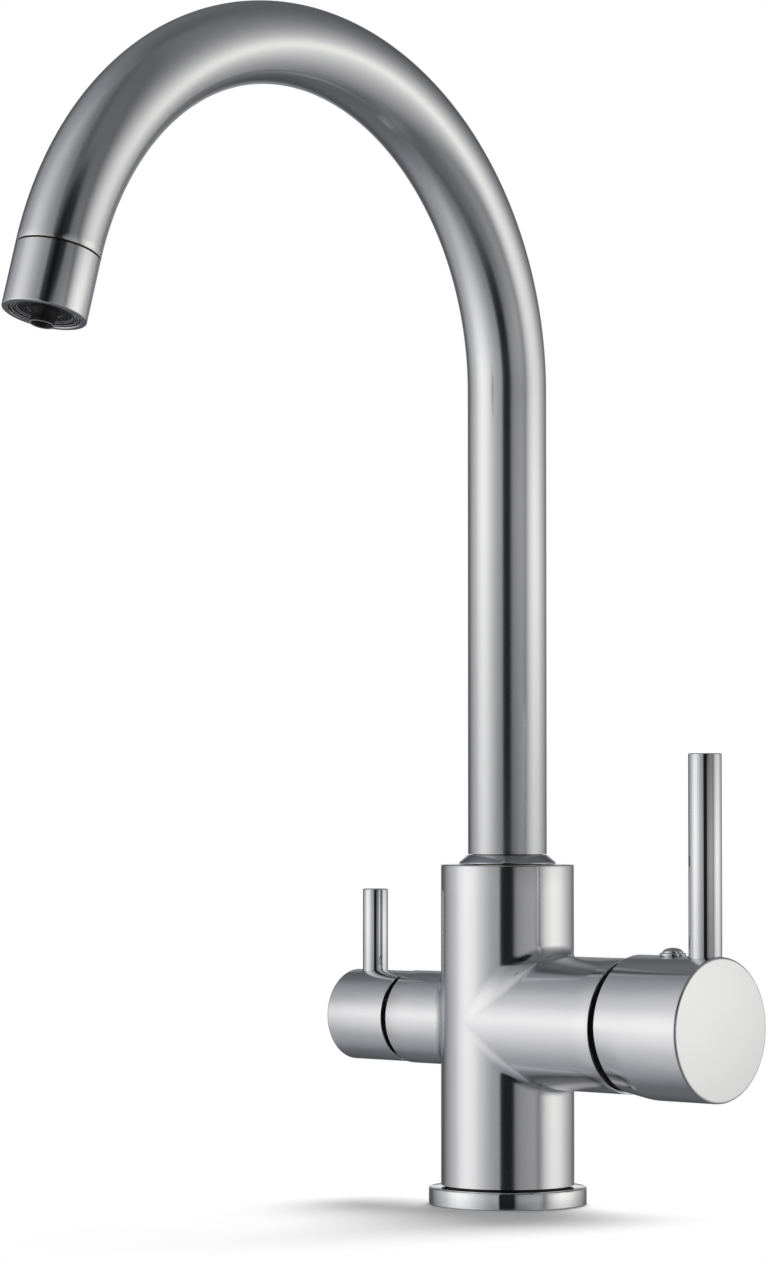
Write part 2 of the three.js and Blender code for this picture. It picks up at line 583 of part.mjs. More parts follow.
function tubeAlong(path, outer, inner, sides) {
  const circle = (radius, count) =>
    Array.from({ length: count }, (_, i) => {
      const turn = (i / count) * 2 * Math.PI;
      return new THREE.Vector2(radius * Math.cos(turn), radius * Math.sin(turn));
    });
  const section = new THREE.Shape(circle(outer, sides.outer));
  section.holes.push(new THREE.Path(circle(inner, sides.inner)));
  const options = { steps: path.steps, extrudePath: path, bevelEnabled: false };
  return solid(new THREE.ExtrudeGeometry(section, options));
}

const NIPPLE = { bottom: 84, shoulder: 104.5, top: 124, bore: 8, radius: 12.2, neck: TUBE_BORE_R - GAP };
const SEAL_GROOVE = { depth: 9.9, half: 1.4, places: { lower: 87.8, upper: 98.4 } };
const RETAINER_GROOVE = { depth: 10.5, half: 1.8 };
const TUBE_SIDES = { outer: 28, inner: 16 };
const HOSE = { start: 88, past: 6, radius: 4, bore: 2.8, outer: 8, inner: 6 };
const COLLAR = { foot: 15.3, top: 12.4, step: 0.4, bearingBelow: 0.2 };

function spoutTube() {
  const tube = tubeAlong(new SwanNeck(TUBE_BOTTOM, 0), TUBE_R, TUBE_BORE_R, TUBE_SIDES);
  spout.add(piece('spout_tube', tube, brushedNickel));
  const hose = tubeAlong(new SwanNeck(HOSE.start, HOSE.past), HOSE.radius, HOSE.bore, HOSE);
  spout.add(piece('filter_water_hose', hose, whitePlastic));
}

// The turned end of the spout, which stands in the body's socket on two seals.
function spoutNipple() {
  const { bottom, shoulder, top, bore, radius, neck } = NIPPLE;
  const { depth, half, places } = SEAL_GROOVE;
  const groove = (z, { half: size, depth: floor }) =>
    [[radius, z - size], [floor, z - size], [floor, z + size], [radius, z + size]];
  const made = turned([
    [bore, bottom], [radius, bottom], ...groove(places.lower, SEAL_GROOVE),
    ...groove(RETAINER.z, RETAINER_GROOVE), ...groove(places.upper, SEAL_GROOVE),
    [radius, shoulder], [neck, shoulder], [neck, top], [bore, top],
  ], ROUND);
  spout.add(piece('spout_nipple', made, rawBrass));
  for (const [place, z] of Object.entries(places)) {
    const seal = ring(depth + GAP, radius, z - half + GAP, z + half - GAP, ROUND);
    spout.add(piece(`spout_seal_${place}`, seal, rubber));
  }
}

function spoutCollar() {
  const inner = NIPPLE.neck + GAP;
  const { foot, top, step, bearingBelow } = COLLAR;
  const bearingTop = BODY_TOP - bearingBelow;
  const bearing = ring(inner, SOCKET.mouthRadius - GAP, SOCKET.step + GAP, bearingTop, ROUND);
  tap.add(piece('spout_bearing', bearing, whitePlastic));
  const low = BODY_TOP + GAP;
  const high = TUBE_BOTTOM - GAP;
  const collar = turned([
    [inner, low], [foot, low], [foot, low + step], [top, high], [inner, high],
  ], FINE);
  spout.add(piece('spout_collar', collar, polishedChrome));
}

// ---- The nozzle: a sleeve on the spout's end, with the aerator round the filtered water's outlet ----
const SLEEVE = { bore: 11.2, step: 8.5, edge: 0.4 };
const ADAPTER = { bore: 8, start: -5 };
const AERATOR = { outer: 10.2, wall: 0.8, lip: 1.6, low: 9.9, high: NOZZLE_L - 0.3 };
const INSERT = { low: 15.2, plate: 18.3, rimBore: 8.2, rim: 18.9 };
const INSERT_HOLES = [[10, 5.9], [14, 7.3]]; // how many, and on which radius
const INSERT_HOLE_R = 0.6;
const OUTLET = { root: 4.6, mouth: 3.7, end: NOZZLE_L + 3, bore: 2.5, flare: 2.5, lip: 0.5, throat: 12 };
const OUTLET_STUB = { radius: 2.2, bore: 1.5, start: 1, step: 9, shoulder: 10.5 };

function nozzleSleeve() {
  const { bore, step, edge } = SLEEVE;
  const mouth = AERATOR.outer + GAP;
  const sleeve = turned([
    [bore, GAP], [TUBE_R, GAP], [TUBE_R, NOZZLE_L - edge], [TUBE_R - edge, NOZZLE_L],
    [mouth, NOZZLE_L], [mouth, step], [bore, step],
  ], FINE);
  nozzle.add(piece('nozzle_sleeve', sleeve, brushedNickel));
  const top = step - 1;
  const adapter = ring(ADAPTER.bore, TUBE_BORE_R - 2 * GAP, ADAPTER.start, top, ROUND);
  nozzle.add(piece('nozzle_adapter', adapter, rawBrass));
  const washer = ring(ADAPTER.bore - 1, AERATOR.outer, top + GAP, AERATOR.low - GAP, SMALL);
  nozzle.add(piece('aerator_washer', washer, rubber));
}

function aerator() {
  const { outer, wall, lip, low, high } = AERATOR;
  const inner = outer - wall;
  const housing = turned([
    [inner - lip, low], [outer, low], [outer, high], [inner, high],
    [inner, low + lip], [inner - lip, low + lip],
  ], ROUND);
  nozzle.add(piece('aerator_housing', housing, blackPlastic));
  const insert = turned([
    [OUTLET.root + GAP, INSERT.low], [inner - GAP, INSERT.low], [inner - GAP, INSERT.rim],
    [INSERT.rimBore, INSERT.rim], [INSERT.rimBore, INSERT.plate], [OUTLET.root + GAP, INSERT.plate],
  ], ROUND);
  const holes = [];
  for (const [count, radius] of INSERT_HOLES) {
    for (let i = 0; i < count; i++) {
      const turn = (i / count) * 2 * Math.PI;
      const [x, y] = [radius * Math.cos(turn), radius * Math.sin(turn)];
      holes.push(bar(INSERT_HOLE_R, [x, y, INSERT.low - RUN], [x, y, INSERT.plate + RUN], HEX));
    }
  }
  nozzle.add(piece('aerator_insert', cut(insert, ...holes), blackPlastic));
}

function filterOutlet() {
  const { root, mouth, end, bore, flare, lip, throat } = OUTLET;
  const { radius, bore: stubBore, start, step, shoulder } = OUTLET_STUB;
  const made = turned([
    [stubBore, start], [radius, start], [radius, step], [root, shoulder], [root, INSERT.plate],
    [mouth, end - 1], [mouth, end], [mouth - lip, end], [bore, end - flare], [bore, throat],
    [stubBore, throat - flare],
  ], ROUND);
  nozzle.add(piece('filter_outlet', made, blackPlastic));
}

// ---- The whole tap ----
bodyCasting();
base();
spoutRetainingScrew();
filterNipple();
portedPlate('cartridge_port_seal', STACK.sealRadius, CHAMBER.floor + GAP, STACK.sealEnd, rubber);
portedPlate('cartridge_base', SHELL.outer, STACK.sealEnd + GAP, SHELL.start - GAP, greyPlastic);
portedPlate('mixer_fixed_disc', STACK.discRadius, SHELL.start, MOVING.low - GAP, ceramic);
cartridgeShell();
cartridgeNut();
bonnet();
carrier();
movingDisc();
leverStem();
mixerCap();
mixerFittings();
filterValve();
filterHeadwork();
filterSpindle();
filterCap();
filterFittings();
spoutTube();
spoutNipple();
spoutCollar();
nozzleSleeve();
aerator();
filterOutlet();

export default tap;
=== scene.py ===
# %% [markdown]
# # A three way kitchen tap
#
# The tap is a turned and brushed casting with a swan neck on top, a large mixer lever on one side and a
# small lever for filtered water on the other. The frame that we load holds every real part at its true
# size, and where it turns. Here we give it the fine shapes and finishes that the eye sees.

# %% Load the frame
import json
import math

import bmesh
import bpy
import numpy as np
from mathutils import Matrix, Vector


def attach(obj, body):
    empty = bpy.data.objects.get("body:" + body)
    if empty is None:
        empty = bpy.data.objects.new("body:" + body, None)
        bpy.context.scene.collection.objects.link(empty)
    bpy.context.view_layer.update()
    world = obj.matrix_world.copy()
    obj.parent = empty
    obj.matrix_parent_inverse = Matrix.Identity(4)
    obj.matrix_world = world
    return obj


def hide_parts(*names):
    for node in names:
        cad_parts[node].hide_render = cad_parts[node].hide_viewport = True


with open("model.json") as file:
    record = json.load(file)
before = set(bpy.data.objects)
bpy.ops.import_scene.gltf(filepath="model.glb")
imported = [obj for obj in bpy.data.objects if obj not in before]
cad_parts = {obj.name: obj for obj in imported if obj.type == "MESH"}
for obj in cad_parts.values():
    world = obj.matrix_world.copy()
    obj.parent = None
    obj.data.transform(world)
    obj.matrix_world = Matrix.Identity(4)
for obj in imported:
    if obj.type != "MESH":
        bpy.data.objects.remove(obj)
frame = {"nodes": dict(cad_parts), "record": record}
scene = bpy.context.scene
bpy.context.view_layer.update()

# %% [markdown]
# ## The main sizes
#
# Blender works in metres, but a tap is easier to think about in millimetres. So the sizes below are
# millimetres, and one factor turns them into metres when a mesh is finished. The long axes are four: the
# column, the two side branches and the nozzle. Each is a matrix whose own +Z runs out along the axis, so
# that every turned piece can be drawn upright and then put in its place.

# %% Sizes and axes
MM = 0.001
GAP = 0.3
BODY_R = 21.1
BODY_TOP = 107.2
FOOT_R = 19.5
RING_R = 25.0
RING_H = 5.5
BRANCH_Z = 57.8
MIXER_BOSS_R = 21.0
MIXER_RIM = 51.0
MIXER_CAP_R = 22.3
MIXER_CAP_REAR = 54.3
MIXER_CAP_FACE = 86.6
FILTER_BOSS_R = 14.9
FILTER_RIM = 39.2
FILTER_CAP_R = 14.6
FILTER_CAP_REAR = 41.3
FILTER_CAP_FACE = 65.5
TUBE_R = 12.5
TUBE_BORE_R = 11.2
TUBE_BOTTOM = 110.5
BEND_R = 99.0
BEND_START = 257.4
BEND_ANGLE = math.radians(163.8)
NOZZLE_L = 19.5

COLUMN = Matrix.Identity(4)
MIXER = Matrix.Translation((0, 0, BRANCH_Z)) @ Matrix.Rotation(math.pi / 2, 4, "Y")
FILTER = Matrix.Translation((0, 0, BRANCH_Z)) @ Matrix.Rotation(-math.pi / 2, 4, "Y")
NOZZLE = Matrix.Translation((0, -BEND_R, BEND_START)) @ Matrix.Rotation(BEND_ANGLE, 4, "X")
NOZZLE = NOZZLE @ Matrix.Translation((0, BEND_R, 0))
print("nozzle mouth at", [round(c, 1) for c in NOZZLE @ Vector((0, 0, NOZZLE_L))])

# %% [markdown]
# ## The camera
#
# The photograph looks at the tap from about 1.4 metres away with a long lens, from between the spout and
# the mixer lever. The camera stands at 41.5 degrees round from the front, a little above the top of the
# body, and looks up by two degrees.

# %% Camera
VIEW_AZIMUTH = math.radians(41.459)
VIEW_DISTANCE = 1.39814
VIEW_HEIGHT = 0.13062
VIEW_PITCH = math.radians(92.0645)
VIEW_TURN = math.radians(43.0637)
camera = bpy.data.objects.new("camera", bpy.data.cameras.new("camera"))
scene.collection.objects.link(camera)
camera.location = (
    VIEW_DISTANCE * math.sin(VIEW_AZIMUTH), -VIEW_DISTANCE * math.cos(VIEW_AZIMUTH), VIEW_HEIGHT)
camera.rotation_euler = (VIEW_PITCH, 0, VIEW_TURN)
camera.data.sensor_width = 36
camera.data.lens = 125.3
camera.data.clip_end = 50
scene.camera = camera
print("camera at", [round(c, 3) for c in camera.location])

# %% [markdown]
# ## Grain that more than one finish shares
#
# Brushing leaves thousands of fine scratches that all run one way. A noise texture that is stretched
# along the scratches and squeezed across them looks just like that. The group below takes a stretched
# vector and gives back two things: how rough each scratch is, and its height for a bump. Wide, faint
# patches of handling are added to the roughness, since no metal is even all over. Three small helpers
# come first, because the node trees below are built with them.

# %% Node helpers
def add_node(tree, kind, inputs=None, **settings):
    """A new node, with its settings, and with its input sockets filled or linked."""
    node = tree.nodes.new(kind)
    for key, value in settings.items():
        setattr(node, key, value)
    for key, value in (inputs or {}).items():
        if isinstance(value, bpy.types.NodeSocket):
            tree.links.new(value, node.inputs[key])
        else:
            node.inputs[key].default_value = value
    return node


def calc(tree, operation, *values):
    """What a Math node makes of its values, which are sockets or numbers."""
    return add_node(tree, "ShaderNodeMath", dict(enumerate(values)), operation=operation).outputs[0]


def new_group(name, inputs, outputs):
    """An empty node group with named sockets, and the nodes at its two ends."""
    group = bpy.data.node_groups.new(name, "ShaderNodeTree")
    for title, kind, value in inputs:
        socket = group.interface.new_socket(title, in_out="INPUT", socket_type=kind)
        if value is not None:
            socket.default_value = value
    for title, kind in outputs:
        group.interface.new_socket(title, in_out="OUTPUT", socket_type=kind)
    return group, group.nodes.new("NodeGroupInput"), group.nodes.new("NodeGroupOutput")


print("node helpers ready")

# %% Brushing
HANDLING_SCALE = 45.0


def make_brushing():
    """The group for scratches and handling, round a middle roughness."""
    group, given, result = new_group(
        "brushing",
        [("Grain", "NodeSocketVector", None), ("Place", "NodeSocketVector", None),
         ("Roughness", "NodeSocketFloat", 0.25), ("Scratches", "NodeSocketFloat", 0.06),
         ("Handling", "NodeSocketFloat", 0.03)],
        [("Roughness", "NodeSocketFloat"), ("Height", "NodeSocketFloat")])
    take = given.outputs
    fine = add_node(group, "ShaderNodeTexNoise",
                    {"Vector": take["Grain"], "Scale": 1.0, "Detail": 3.0}).outputs["Fac"]
    wide = add_node(group, "ShaderNodeTexNoise",
                    {"Vector": take["Place"], "Scale": HANDLING_SCALE, "Detail": 2.0}).outputs["Fac"]
    scratch = calc(group, "SUBTRACT", fine, 0.5)
    patch = calc(group, "SUBTRACT", wide, 0.5)
    scratched = calc(group, "MULTIPLY_ADD", scratch, take["Scratches"], take["Roughness"])
    handled = calc(group, "MULTIPLY_ADD", patch, take["Handling"], scratched)
    group.links.new(handled, result.inputs["Roughness"])
    group.links.new(fine, result.inputs["Height"])
    return group


brushing = make_brushing()
print("group", brushing.name, "with", len(brushing.nodes), "nodes")

# %% [markdown]
# ## The metals
#
# Brushed nickel is a soft and nearly neutral grey. Its scratches run round a turned piece, along a drawn
# tube, and straight down a flat end face. So one function makes the finish, and each use gives it its own
# grain, colour and roughness. Scales are per metre: a scale of 9000 across the grain makes a scratch about
# a tenth of a millimetre wide. The lever rods and the foot are smoother, nearly mirrors. The end faces are
# painted lighter than the rest, as painted light, and the collar's chrome darker, as painted shade. The
# column below its groove and the brass of the small valve are painted near black, as painted shade, since
# they are only seen down in slots.

# %% Brushed metal
ACROSS = 9000.0
ALONG = 120.0


def new_material(name):
    """A material with nodes, its tree, and its Principled shader."""
    material = bpy.data.materials.new(name)
    material.use_nodes = True
    return material, material.node_tree, material.node_tree.nodes["Principled BSDF"]


def brushed(name, color, roughness, grain, scratches=0.05, bump=0.009, from_uv=False):
    material, tree, shader = new_material(name)
    shader.inputs["Base Color"].default_value = (*color, 1)
    shader.inputs["Metallic"].default_value = 1.0
    place = add_node(tree, "ShaderNodeTexCoord").outputs
    stretch = add_node(tree, "ShaderNodeMapping",
                       {"Vector": place["UV"] if from_uv else place["Object"], "Scale": grain})
    worked = add_node(tree, "ShaderNodeGroup", node_tree=brushing)
    worked.inputs["Roughness"].default_value = roughness
    worked.inputs["Scratches"].default_value = scratches
    tree.links.new(stretch.outputs["Vector"], worked.inputs["Grain"])
    tree.links.new(place["Object"], worked.inputs["Place"])
    tree.links.new(worked.outputs["Roughness"], shader.inputs["Roughness"])
    relief = add_node(tree, "ShaderNodeBump",
                      {"Height": worked.outputs["Height"], "Strength": bump, "Distance": 0.0001})
    tree.links.new(relief.outputs["Normal"], shader.inputs["Normal"])
    return material


print("scratches", round(1000 / ACROSS, 2), "mm wide and", round(1000 / ALONG, 1), "mm long")

# %% The metals
NICKEL = (0.79, 0.79, 0.80)
ROUND_COLUMN = (ALONG, ALONG, ACROSS)
ROUND_BRANCH = (ACROSS, ALONG, ALONG)
DOWN_FACE = (ACROSS, ACROSS, ALONG)
SCRATCHES_PER_TURN = ACROSS * 0.0127
ALONG_TUBE = (SCRATCHES_PER_TURN, ALONG, 1)
nickel_round_column = brushed("nickel_round_column", NICKEL, 0.13, ROUND_COLUMN)
nickel_round_branch = brushed("nickel_round_branch", NICKEL, 0.14, ROUND_BRANCH)
# The end faces are painted lighter than the other nickel: painted light. Their grain running straight down
# is their own.
nickel_end_face_painted_light = brushed("nickel_end_face_painted_light", (0.86, 0.86, 0.866), 0.24, DOWN_FACE)
nickel_tube = brushed("nickel_tube", (0.785, 0.787, 0.792), 0.18, ALONG_TUBE, from_uv=True)
nickel_rod = brushed("nickel_rod", NICKEL, 0.06, ROUND_COLUMN, scratches=0.03, bump=0.003)
chrome = brushed("chrome", (0.83, 0.835, 0.84), 0.03, (ALONG, ALONG, ALONG), scratches=0.01, bump=0.0)
# The collar's chrome is painted darker than the foot ring's: painted shade. Its higher roughness is its
# own.
collar_chrome_painted_shade = brushed(
    "collar_chrome_painted_shade", (0.6, 0.61, 0.63), 0.1, ROUND_COLUMN, scratches=0.02, bump=0.0)
brass = brushed("raw_brass", (0.3, 0.23, 0.12), 0.4, ROUND_COLUMN)
# The valve's headwork brass is painted near black: painted shade for the slot it is seen in.
brass_painted_shade = brushed("brass_painted_shade", (0.07, 0.055, 0.035), 0.5, ROUND_COLUMN)
# The column below its groove is painted near black: painted shade, so the groove over the base ring shows
# dark.
foot_painted_shade = brushed("foot_painted_shade", (0.05, 0.045, 0.04), 0.5, ROUND_COLUMN)
steel = brushed("stainless_steel", (0.66, 0.66, 0.66), 0.26, ROUND_COLUMN)
print(len(bpy.data.materials), "materials so far")

# %% [markdown]
# ## Plastics, rubber and ceramic
#
# These are mostly out of sight: inside the tap, up in its nozzle and under its foot. Moulded plastic has a
# faint grain from its mould. One fine noise gives it to the colour, the roughness and the bump together,
# so that they belong to the same small pits.

# %% Moulded finishes
def moulded(name, color, roughness, grain_scale, relief_height, shine=0.5):
    material, tree, shader = new_material(name)
    place = add_node(tree, "ShaderNodeTexCoord")
    grain = add_node(tree, "ShaderNodeTexNoise", {
        "Vector": place.outputs["Object"], "Scale": grain_scale, "Detail": 4.0}).outputs["Fac"]
    tint = add_node(tree, "ShaderNodeValToRGB", {"Fac": grain})
    tint.color_ramp.elements[0].color = (*[c * 0.85 for c in color], 1)
    tint.color_ramp.elements[1].color = (*[min(c * 1.12, 1) for c in color], 1)
    gloss = calc(tree, "MULTIPLY_ADD", grain, 0.15, roughness - 0.07)
    relief = add_node(tree, "ShaderNodeBump",
                      {"Height": grain, "Strength": 0.3, "Distance": relief_height})
    shader.inputs["Specular IOR Level"].default_value = shine
    tree.links.new(tint.outputs["Color"], shader.inputs["Base Color"])
    tree.links.new(gloss, shader.inputs["Roughness"])
    tree.links.new(relief.outputs["Normal"], shader.inputs["Normal"])
    return material


black_plastic = moulded("black_plastic", (0.02, 0.02, 0.023), 0.38, 2500, 0.00005)
nozzle_black = moulded("nozzle_black", (0.012, 0.012, 0.013), 0.3, 2500, 0.00002, shine=0.25)
# Grey edges for the black nozzle pieces: a painted highlight on their rims.
edges_painted_highlight = moulded("edges_painted_highlight", (0.3, 0.3, 0.32), 0.3, 2500, 0.00002)
grey_plastic = moulded("grey_plastic", (0.3, 0.31, 0.33), 0.45, 2500, 0.00005)
white_plastic = moulded("white_plastic", (0.8, 0.8, 0.77), 0.45, 2500, 0.00005)
ceramic = moulded("ceramic", (0.86, 0.84, 0.79), 0.2, 4000, 0.00001)
rubber = moulded("rubber", (0.015, 0.015, 0.016), 0.7, 3500, 0.00008)
print(len(bpy.data.materials), "materials so far")

# %% [markdown]
# ## Finishes for the frame's own parts
#
# The parts inside the tap keep the frame's meshes, which are fine enough for what nobody sees. Each gets
# the finish that its material slot asks for. The small valve's headwork shows in a narrow slot, where it
# is too dark to look like brass, so its brass is painted near black: painted shade.

# %% Frame finishes
SLOT_FINISH = {
    "brushed_nickel": nickel_round_branch, "polished_chrome": chrome, "raw_brass": brass,
    "stainless": steel, "black_plastic": black_plastic, "grey_plastic": grey_plastic,
    "white_plastic": white_plastic, "ceramic": ceramic, "rubber": rubber,
}
node_slots = {part["node"]: part["material_slot"] for part in frame["record"]["subparts"]}
for node, cad_object in frame["nodes"].items():
    cad_object.data.materials.clear()
    cad_object.data.materials.append(SLOT_FINISH[node_slots[node]])
frame["nodes"]["filter_headwork"].data.materials[0] = brass_painted_shade
print(len(node_slots), "frame nodes have a finish")

# %% [markdown]
# ## Turned pieces
#
# Most of the tap comes off a lathe, so most pieces are half outlines that are spun round an axis. The
# outline is a list of (radius, place along the axis). Spinning it full circle closes the shape, and then
# each sharp ring of edges gets a small rounding, because a real edge always catches a line of light.

# %% Helpers for turned pieces
SIDES = 128


def spun(outline, sides=SIDES):
    """A closed shape made by turning an outline round its own Z axis."""
    bm = bmesh.new()
    corners = [bm.verts.new((radius, 0, along)) for radius, along in outline]
    edges = [bm.edges.new(pair) for pair in zip(corners, corners[1:])]
    if outline[0][0] > 0:
        edges.append(bm.edges.new((corners[-1], corners[0])))
    bmesh.ops.spin(bm, geom=corners + edges, cent=(0, 0, 0), axis=(0, 0, 1), angle=2 * math.pi,
                   steps=sides, use_merge=True, use_duplicate=False)
    bmesh.ops.remove_doubles(bm, verts=bm.verts, dist=1e-4)
    bmesh.ops.dissolve_degenerate(bm, dist=1e-5, edges=bm.edges)
    bmesh.ops.recalc_face_normals(bm, faces=bm.faces)
    return bm


def soften(bm, width, segments=3, sharpest=math.radians(28), keep=None, slot=0):
    """Rounds edges sharper than an angle. keep tells which, and slot gives their material."""
    edges = [e for e in bm.edges if e.is_manifold and e.calc_face_angle(0) > sharpest]
    if keep:
        edges = [e for e in edges if keep((e.verts[0].co + e.verts[1].co) / 2)]
    made = bmesh.ops.bevel(bm, geom=edges, offset=width, segments=segments, profile=0.5,
                           affect="EDGES", material=-1, clamp_overlap=True)
    for face in made["faces"]:
        face.material_index = slot
    return bm


def mesh_object(name, bm):
    """Puts a shape into the scene as it is."""
    mesh = bpy.data.meshes.new(name)
    bm.to_mesh(mesh)
    bm.free()
    made = bpy.data.objects.new(name, mesh)
    scene.collection.objects.link(made)
    return made


def finish(name, bm, place, body, materials, nodes):
    """Puts the shape in its place, in metres, hangs it on its body, and hides the frame's parts that it
    stands for.
    """
    bmesh.ops.transform(bm, matrix=Matrix.Scale(MM, 4) @ place, verts=bm.verts)
    piece = mesh_object(name, bm)
    mesh = piece.data
    mesh.polygons.foreach_set("use_smooth", [True] * len(mesh.polygons))
    mesh.set_sharp_from_angle(angle=math.radians(30))
    for material in materials:
        mesh.materials.append(material)
    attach(piece, body)
    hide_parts(*nodes)
    print(name, len(mesh.polygons), "faces")
    return piece


print("a full turn has", SIDES, "sides")

# %% [markdown]
# ## The casting
#
# The body is one casting: an upright column with two round branches. Where they meet, the metal flows
# from one to the other in a small hollow curve, a fillet. A bevel can't make it, because the branch is
# as wide as the column, and at the front their surfaces meet without an edge. So the pieces are melted
# into one even skin with a voxel remesh, and then each point of the skin is moved onto the exact
# filleted form. That form is a formula: how far a point is from the column and from the branch, and a
# rounded join between the two. The rounding fades where the two surfaces already run the same way.
# Under the mixer branch the hollow is tighter than above it.

# %% The filleted form
MIXER_FILLET = 3.6
MIXER_FILLET_BELOW = 1.6
FILLET_CHANGE = 24.0
FILTER_FILLET = 1.8
SWELL_REACH = 14.0
TINY = 1e-9


def eased(share):
    """A share from 0 to 1 that starts and stops softly."""
    share = np.clip(share, 0, 1)
    return share * share * (3 - 2 * share)


def branch_distance(across, up, out, radius):
    """How far points are from a round branch that ends in a half ball on the column's axis."""
    ahead = np.minimum(out, 0)
    reach = np.sqrt(across ** 2 + up ** 2 + ahead ** 2)
    normal = np.stack([ahead, across, up], axis=1) / np.maximum(reach, TINY)[:, None]
    return reach - radius, normal


def rounded_join(first, second, likeness, radius):
    """Joins two distances with a hollow curve, which fades where the two surfaces are alike."""
    reach = radius * (1 - likeness) * (1 + 2.5 * likeness)
    inner = np.hypot(np.maximum(reach - first, 0), np.maximum(reach - second, 0))
    return np.maximum(reach, np.minimum(first, second)) - inner


def casting_distance(points):
    """How far points are from the outside of the casting."""
    x, y, z = points.T
    up = z - BRANCH_Z
    radial = np.maximum(np.hypot(x, y), TINY)
    column = radial - BODY_R
    outward = np.stack([x / radial, y / radial, np.zeros_like(x)], axis=1)
    mixer_radius = BODY_R + (MIXER_BOSS_R - BODY_R) * eased(x / SWELL_REACH)
    mixer, mixer_normal = branch_distance(y, up, x, mixer_radius)
    likeness = np.clip((outward * mixer_normal).sum(axis=1), 0, 1)
    above = eased(up / FILLET_CHANGE + 0.5)
    fillet = MIXER_FILLET_BELOW + (MIXER_FILLET - MIXER_FILLET_BELOW) * above
    joined = rounded_join(column, mixer, likeness, fillet)
    small, small_normal = branch_distance(y, up, -x, FILTER_BOSS_R)
    small_normal[:, 0] *= -1
    likeness = np.clip((outward * small_normal).sum(axis=1), 0, 1)
    return rounded_join(joined, small, likeness, FILTER_FILLET)


def pull_onto_form(points, rounds=8, step=0.01):
    """Moves points along the form's slope until they lie on it."""
    for _ in range(rounds):
        here = casting_distance(points)
        slope = np.stack([
            casting_distance(points + shift) - casting_distance(points - shift)
            for shift in np.eye(3) * step], axis=1) / (2 * step)
        points = points - slope * (here / np.maximum((slope ** 2).sum(axis=1), 1e-6))[:, None]
    return points


front = np.array([[0.0, -BODY_R, BRANCH_Z]])
print("the column's front is", abs(round(float(casting_distance(front)[0]), 3)), "mm off the form")

# %% The melted skin
SKIN_VOXEL = 0.7
SKIN_FOOT = 15
SKIN_TOP = 97
SKIN_MIXER = 44
SKIN_FILTER = 33


def rough_casting():
    """The column and the two branches as plain rods that pass through each other."""
    bm = bmesh.new()
    rods = [(COLUMN, BODY_R, 0, BODY_TOP), (MIXER, MIXER_BOSS_R, 0, MIXER_RIM),
            (FILTER, FILTER_BOSS_R, 0, FILTER_RIM)]
    for place, radius, low, high in rods:
        lift = Matrix.Translation((0, 0, (low + high) / 2))
        bmesh.ops.create_cone(bm, cap_ends=True, segments=96, radius1=radius, radius2=radius,
                              depth=high - low, matrix=place @ lift)
    return bm


def remeshed(bm, voxel):
    """The same shape as one even skin of small squares."""
    holder = mesh_object("rough", bm)
    melt = holder.modifiers.new("melt", "REMESH")
    melt.mode = "VOXEL"
    melt.voxel_size = voxel
    graph = bpy.context.evaluated_depsgraph_get()
    even = bmesh.new()
    even.from_mesh(holder.evaluated_get(graph).to_mesh())
    bpy.data.objects.remove(holder)
    return even


def trimmed_skin():
    """The skin on its exact form, cut off a little short of each end."""
    trimmed = remeshed(rough_casting(), SKIN_VOXEL)
    cuts = [((0, 0, SKIN_FOOT), (0, 0, -1)), ((0, 0, SKIN_TOP), (0, 0, 1)),
            ((SKIN_MIXER, 0, 0), (1, 0, 0)), ((-SKIN_FILTER, 0, 0), (-1, 0, 0))]
    for point, outwards in cuts:
        bmesh.ops.bisect_plane(trimmed, geom=trimmed.verts[:] + trimmed.edges[:] + trimmed.faces[:],
                               plane_co=point, plane_no=outwards, clear_outer=True, dist=1e-4)
    places = np.array([v.co for v in trimmed.verts])
    for vert, place in zip(trimmed.verts, pull_onto_form(places)):
        vert.co = place
    return trimmed


skin = trimmed_skin()
print("melted skin with", len(skin.faces), "faces")

# %% [markdown]
# The remesh can't keep a crisp rim, so the skin is cut off a little short of each end, where it is a plain
# round tube. From there each open end is drawn out along its own outline: up to the rim, round its small
# edge, and back down into the bore. The column's other end runs down to the foot, with a narrow groove
# above the base ring that shows as a dark line.

# %% Crisp ends
def arc(center, radius, start, stop, steps=4):
    """Points (radius, along) on an arc of an outline. Angles are in degrees."""
    turns = [math.radians(start + (stop - start) * i / steps) for i in range(steps + 1)]
    return [(center[0] + radius * math.cos(t), center[1] + radius * math.sin(t)) for t in turns]


def rim_at(bm, place, height):
    """The open edges that lie in a plane across an axis."""
    back = place.inverted()
    return [e for e in bm.edges if e.is_boundary
            and all(abs((back @ v.co).z - height) < 0.05 for v in e.verts)]


def draw_out(bm, rim, outline, place):
    """Extends an open round end along an outline of (radius, along)."""
    back = place.inverted()
    for radius, along in outline:
        made = bmesh.ops.extrude_edge_only(bm, edges=rim)["geom"]
        fresh = {g for g in made if isinstance(g, bmesh.types.BMVert)}
        for vert in fresh:
            local = back @ vert.co
            flat = Vector((local.x, local.y)).normalized() * radius
            vert.co = place @ Vector((flat.x, flat.y, along))
        rim = [g for g in made if isinstance(g, bmesh.types.BMEdge) and fresh.issuperset(g.verts)]
    bmesh.ops.contextual_create(bm, geom=rim)


